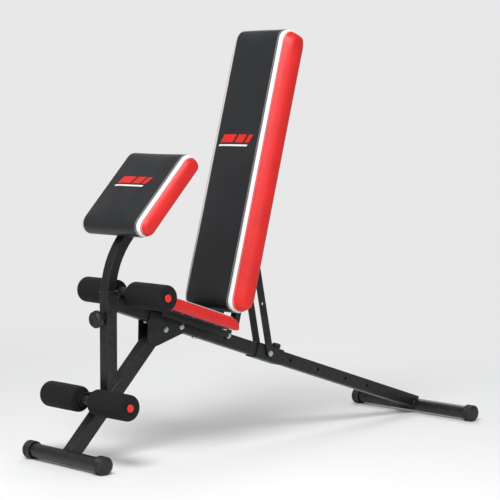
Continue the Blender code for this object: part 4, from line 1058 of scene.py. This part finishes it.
class BENCH_OT_small_fixings(BenchOperator):
    """Spacers, bolts, glides, collars and the spring that the frame's solids leave out"""
    bl_idname = "bench.small_fixings"
    bl_label = "Small fixings"

    def execute(self, context):
        self.roller_spacers()
        self.strut_spacer()
        self.curl_bolts()
        self.pad_bolts()
        self.glides()
        self.post_collar()
        self.slider_spring()
        return {"FINISHED"}

    def roller_spacers(self):
        """Short tubes on the lower axle, between each bracket and its foam."""
        axle = centre("lower_axle")
        low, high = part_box("lower_axle")
        bore, wall = (high.z - low.z) / 2 + GAP, 0.0032
        for side, sign in SIDES:
            bracket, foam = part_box("roller_bracket_" + side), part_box("roller_lower_" + side)
            start = max(abs(bracket[0].y), abs(bracket[1].y)) + GAP
            end = min(abs(foam[0].y), abs(foam[1].y)) - GAP
            corners = [(bore, start), (bore, end), (bore + wall, end), (bore + wall, start)]
            bm = bmesh.new()
            add_turned(bm, rounded_profile(corners, 0.0005, 2),
                       facing((axle.x, 0, axle.z), (0, sign, 0)), ROUND, ring=True)
            add_piece("roller_spacer_" + side, bm, Matrix(), "frame", "black_steel")

    def strut_spacer(self):
        """The tube that holds the two strut bars apart at their pivot."""
        low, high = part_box("strut_bar_left")
        reach = min(abs(low.y), abs(high.y)) - 0.0004
        bore, radius = 0.0050, 0.0088
        bm = bmesh.new()
        add_turned(bm, [(bore, -reach), (bore, reach), (radius, reach), (radius, -reach)],
                   facing(centre("strut_bolt"), (0, 1, 0)), SMALL_ROUND, ring=True)
        add_piece("strut_spacer", bm, Matrix(), "strut", "black_steel")

    def curl_bolts(self):
        """Four bolt heads under the curl pad's plate."""
        low, high = extent("curl_plate", CURL)
        inset = 0.012
        bm = bmesh.new()
        for x in (low.x + inset, high.x - inset):
            for y in (low.y + inset, high.y - inset):
                self.head(bm, Vector((x, y, low.z)))
        add_piece("curl_plate_bolts", bm, CURL, "curl_post", "zinc_steel", merge=None)

    def pad_bolts(self):
        """Two bolt heads under each saddle of the backrest's pad."""
        rail_low, rail_high = extent("back_rail_left", BACK)
        inner, floor = rail_low.y - 0.011, rail_high.z + GAP
        bm = bmesh.new()
        for node in ("saddle_lower", "saddle_upper"):
            low, high = extent(node, BACK)
            for sign in (1, -1):
                self.head(bm, Vector(((low.x + high.x) / 2, sign * inner, floor)))
        add_piece("saddle_bolts", bm, BACK, "backrest_pad", "zinc_steel", merge=None)

    def head(self, bm, seat):
        """A round head on a washer, pointing down its frame's z."""
        profile = [(0, 0.0042), (0.0022, 0.0042), (0.0026, 0.0034), (0.0052, 0.0030), (0.0062, 0.0014),
                   (0.0062, 0.0012), (0.0076, 0.0011), (0.0076, 0.0), (0, 0.0)]
        place = Matrix.Translation(seat) @ Matrix.Rotation(pi, 4, "X")
        add_turned(bm, rounded_profile(profile, 0.0006, 2), place)

    def glides(self):
        """Thin strips between the saddles' lips and the rails that they slide on."""
        rail = extent("back_rail_left", BACK)[1]
        for node in ("saddle_lower", "saddle_upper"):
            low, high = extent(node, BACK)
            for side, sign in SIDES:
                near, far = sorted((sign * (rail.y + 0.0002), sign * (rail.y + 0.0010)))
                bm = bmesh.new()
                add_block(bm, (low.x + 0.003, near, low.z + 0.002), (high.x - 0.003, far, rail.z - 0.001),
                          0.0003, 1)
                add_piece(f"{node}_glide_{side}", bm, BACK, "backrest_pad", "black_plastic")

    def post_collar(self):
        """A plastic collar on top of the post, round the curl tube."""
        low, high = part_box("lower_post")
        tube_low, tube_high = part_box("curl_tube")
        half, inner, height = (high.x - low.x) / 2 + 0.0008, (tube_high.y - tube_low.y) / 2 + 0.0004, 0.0050
        bm = bmesh.new()
        add_block(bm, (-half, -half, 0), (half, half, height), 0.0014)
        hole = bmesh.new()
        add_block(hole, (-inner, -inner, -0.01), (inner, inner, 0.02), 0.0006, 1)
        body, cutter = scratch_object(bm), scratch_object(hole)
        cut = body.modifiers.new("hole", "BOOLEAN")
        cut.object = cutter
        made = baked(body)
        bpy.data.objects.remove(cutter, do_unlink=True)
        place = Matrix.Translation(((low.x + high.x) / 2, 0, high.z + 0.0002))
        add_piece("post_collar", made, place, "frame", "black_plastic")

    def slider_spring(self):
        """A coil under the slider's knob, which it rides with."""
        place = facing(centre("slider_pin"), along("slider_knob_pull"))
        foot = extent("slider_knob", place)[0].z + 0.0022
        radius, turns, wire, pitch = extent("slider_pin", place)[1].y + 0.0009, 4, 0.0005, 0.0018
        steps = 14 * turns
        bm = bmesh.new()
        start = Matrix.Translation((radius, 0, foot)) @ Matrix.Rotation(pi / 2, 4, "X")
        bmesh.ops.create_circle(bm, cap_ends=False, segments=6, radius=wire, matrix=start)
        geom = bm.verts[:] + bm.edges[:]
        bmesh.ops.spin(bm, geom=geom, cent=(0, 0, 0), axis=(0, 0, 1), dvec=(0, 0, pitch * turns / steps),
                       angle=2 * pi * turns, steps=steps)
        bmesh.ops.holes_fill(bm, edges=[e for e in bm.edges if e.is_boundary], sides=0)
        add_piece("slider_spring", bm, place, "slider_knob", "zinc_steel", sharp=60.0)


class BENCH_OT_welds(BenchOperator):
    """Weld beads where the frame's tubes meet"""
    bl_idname = "bench.welds"
    bl_label = "Welds"

    def execute(self, context):
        bead = context.scene.bench_fixings.bead
        self.foot_bead("front_foot", "front_leg", bead)
        self.foot_bead("rear_foot", "rail", bead)
        self.rail_bead(bead)
        self.post_bead(bead)
        self.ear_beads(bead)
        return {"FINISHED"}

    def rope(self, title, points, radius, body):
        """A bead along points: overlapping, slightly uneven drops."""
        bm = bmesh.new()
        for start, end in zip(points, points[1:]):
            run = end - start
            count = max(1, round(run.length / (1.05 * radius)))
            for i in range(count):
                spot = start + run * (i / count)
                size = radius * (1 + 0.10 * sin(7.3 * i))
                verts = bmesh.ops.create_icosphere(bm, subdivisions=2, radius=size,
                                                   matrix=Matrix.Translation(spot))["verts"]
                bmesh.ops.scale(bm, vec=(1, 1, 0.9), space=Matrix.Translation(-spot), verts=verts)
        obj = scratch_object(bm)
        join = obj.modifiers.new("join", "REMESH")
        join.mode = "VOXEL"
        join.voxel_size = radius * 0.30
        add_piece(title, baked(obj), Matrix(), body, "black_steel", sharp=80.0)

    def foot_bead(self, foot, tube, bead):
        """Down both sides of a tube, where it sits on a round foot."""
        low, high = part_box(foot)
        axis, radius = (low + high) / 2, (high.z - low.z) / 2
        inward = -1 if axis.x > 0 else 1
        half = (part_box(tube)[1].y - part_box(tube)[0].y) / 2
        start, sweep = (78, 130) if foot == "front_foot" else (62, 100)
        steps = 8
        for side, sign in SIDES:
            points = []
            for i in range(steps + 1):
                angle = radians(start - sweep * i / steps)
                x, z = axis.x + inward * radius * cos(angle), axis.z + radius * sin(angle)
                points.append(Vector((x, sign * half, z)))
            self.rope(f"{foot}_weld_{side}", points, bead, "frame")

    def rail_bead(self, bead):
        """Across the rail's sides, where it meets the post."""
        front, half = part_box("lower_post")[1].xy
        low, high = extent("rail", RAIL)
        way = along("slider_slide")
        axis_z = self.rail_height(front)
        lean = (high.z - low.z) / 2 / cos(atan2(-way.z, way.x))
        for side, sign in SIDES:
            points = [Vector((front + 0.0002, sign * (half - 0.0006), axis_z + lean * t))
                      for t in (-1, -0.5, 0, 0.5, 1)]
            self.rope(f"rail_weld_{side}", points, bead, "frame")
        under = [Vector((front, y, axis_z - lean)) for y in (-half, 0, half)]
        self.rope("rail_weld_under", under, bead, "frame")

    def rail_height(self, x):
        """Height of the rail's centre line at an x."""
        low, high = extent("rail", RAIL)
        start = RAIL @ Vector((low.x, 0, (low.z + high.z) / 2))
        way = along("slider_slide")
        return start.z + (x - start.x) * way.z / way.x

    def post_bead(self, bead):
        """Along the post's sides, where its slanted foot sits on the leg."""
        way = self.leg_way()
        low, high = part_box("lower_post")
        half = high.y
        start = Vector((low.x, 0, low.z))
        rise = (high.x - low.x) * way.z / way.x
        for side, sign in SIDES:
            points = [start + Vector((t * (high.x - low.x), sign * half, t * rise)) for t in (0, 0.5, 1)]
            self.rope(f"post_weld_{side}", points, bead, "frame")

    def leg_way(self):
        """The direction of the front leg, from its longest faces."""
        faces = frame["nodes"]["front_leg"].data.polygons
        upper = [f for f in faces if abs(f.normal.y) < 0.1 and f.normal.z > 0.3]
        normal = max(upper, key=lambda f: f.area).normal
        return Vector((normal.z, 0, -normal.x)).normalized()

    def ear_beads(self, bead):
        """A run down the back of each hinge ear, where it is welded to the backrest's rail."""
        for side, sign in SIDES:
            low, high = extent("hinge_ear_" + side, BACK)
            rail_low, rail_high = extent("back_rail_" + side, BACK)
            inner = min(abs(rail_low.y), abs(rail_high.y))
            ends = (rail_low.x + 0.012, high.x - 0.003)
            points = [BACK @ Vector((x, sign * inner, low.z)) for x in ends]
            self.rope("ear_weld_" + side, points, 0.75 * bead, "backrest")


class BENCH_OT_finish(BenchOperator):
    """Finishes on the frame's own pieces"""
    bl_idname = "bench.finish"
    bl_label = "Finish"

    def execute(self, context):
        slots = {part["node"]: part["material_slot"] for part in frame["record"]["subparts"]}
        for node, piece in frame["nodes"].items():
            piece.data.materials.clear()
            piece.data.materials.append(finish(slots[node]))
        return {"FINISHED"}


# each lamp's place, power in watts and diameter
LAMPS = (("key", (-2.4, -1.6, 3.6), 145, 2.2),
         ("fill", (-1.0, -4.2, 1.4), 30, 3.0),
         ("rim", (2.6, 2.2, 2.6), 40, 2.0))
WALL = (0.805, 0.805, 0.805, 1)         # of the studio, as the camera sees it
SKYLIGHT = (0.96, 0.98, 1.0, 1)         # of the studio, as it lights the bench
FLOOR_HALF = 30
MIDDLE_X = -0.018                       # of what the camera looks at


class BENCH_OT_stage(BenchOperator):
    """Floor, soft studio light and camera"""
    bl_idname = "bench.stage"
    bl_label = "Stage"

    def execute(self, context):
        bm = bmesh.new()
        bmesh.ops.create_grid(bm, x_segments=1, y_segments=1, size=FLOOR_HALF)
        mesh = bpy.data.meshes.new("studio_floor")
        bm.to_mesh(mesh)
        bm.free()
        floor = bpy.data.objects.new("studio_floor", mesh)
        context.scene.collection.objects.link(floor)
        floor.location.z = -0.0002
        mesh.materials.append(finish("floor"))
        self.world()
        self.lights()
        self.camera(context.scene.bench_stage)
        return {"FINISHED"}

    def world(self):
        """The studio's walls: pale to look at, and softer as a light."""
        world = bpy.data.worlds.new("studio")
        world.use_nodes = True
        nodes = Nodes(world.node_tree)
        seen = world.node_tree.nodes["Background"]
        nodes.set(seen, Color=WALL, Strength=1.0)
        light = nodes.set(nodes.add("ShaderNodeBackground"), Color=SKYLIGHT, Strength=0.42)
        either = nodes.add("ShaderNodeMixShader")
        nodes.link(nodes.add("ShaderNodeLightPath").outputs["Is Camera Ray"], either.inputs[0])
        nodes.link(light.outputs[0], either.inputs[1])
        nodes.link(seen.outputs[0], either.inputs[2])
        nodes.link(either.outputs[0], world.node_tree.nodes["World Output"].inputs["Surface"])
        bpy.context.scene.world = world
        bpy.context.scene.view_settings.view_transform = "Standard"

    def lights(self):
        """Three discs that look at the middle of the bench."""
        for name, spot, power, size in LAMPS:
            light = bpy.data.lights.new(name, "AREA")
            light.energy = power
            light.shape = "DISK"
            light.size = size
            lamp = bpy.data.objects.new(name, light)
            bpy.context.scene.collection.objects.link(lamp)
            lamp.location = spot
            lamp.rotation_euler = (Vector((0, 0, 0.5)) - Vector(spot)).to_track_quat("-Z", "Y").to_euler()

    def camera(self, settings):
        target = Vector((MIDDLE_X, 0, settings.height))
        level = Vector((sin(settings.azimuth), -cos(settings.azimuth), 0)) * cos(settings.pitch)
        eye = target + settings.distance * (level + Vector((0, 0, sin(settings.pitch))))
        lens = bpy.data.cameras.new("camera")
        lens.lens = settings.lens
        lens.sensor_width = 36
        view = bpy.data.objects.new("camera", lens)
        bpy.context.scene.collection.objects.link(view)
        view.location = eye
        view.rotation_euler = (target - eye).to_track_quat("-Z", "Y").to_euler()
        bpy.context.scene.camera = view


class BENCH_PT_panel(bpy.types.Panel):
    """Steps that build the bench"""
    bl_idname = "BENCH_PT_panel"
    bl_label = "Sit Up Bench"
    bl_space_type = "VIEW_3D"
    bl_region_type = "UI"
    bl_category = "Bench"

    def draw(self, context):
        for step in STEPS:
            self.layout.operator(step.bl_idname)


STEPS = (BENCH_OT_finish, BENCH_OT_pads, BENCH_OT_rollers, BENCH_OT_foot_caps, BENCH_OT_knobs,
         BENCH_OT_bolts, BENCH_OT_small_fixings, BENCH_OT_welds, BENCH_OT_stage)
SETTINGS = {"bench_pads": BenchPadSettings, "bench_foam": BenchFoamSettings,
            "bench_fixings": BenchFixingSettings, "bench_colours": BenchColourSettings,
            "bench_stage": BenchStageSettings}


def register():
    for kind in (*SETTINGS.values(), *STEPS, BENCH_PT_panel):
        bpy.utils.register_class(kind)
    for name, kind in SETTINGS.items():
        setattr(bpy.types.Scene, name, bpy.props.PointerProperty(type=kind))


def unregister():
    for name in SETTINGS:
        delattr(bpy.types.Scene, name)
    for kind in (BENCH_PT_panel, *reversed(STEPS), *SETTINGS.values()):
        bpy.utils.unregister_class(kind)


def main():
    register()
    bpy.ops.bench.finish()
    bpy.ops.bench.pads()
    bpy.ops.bench.rollers()
    bpy.ops.bench.foot_caps()
    bpy.ops.bench.knobs()
    bpy.ops.bench.bolts()
    bpy.ops.bench.small_fixings()
    bpy.ops.bench.welds()
    bpy.ops.bench.stage()


if __name__ == "__main__":
    main()
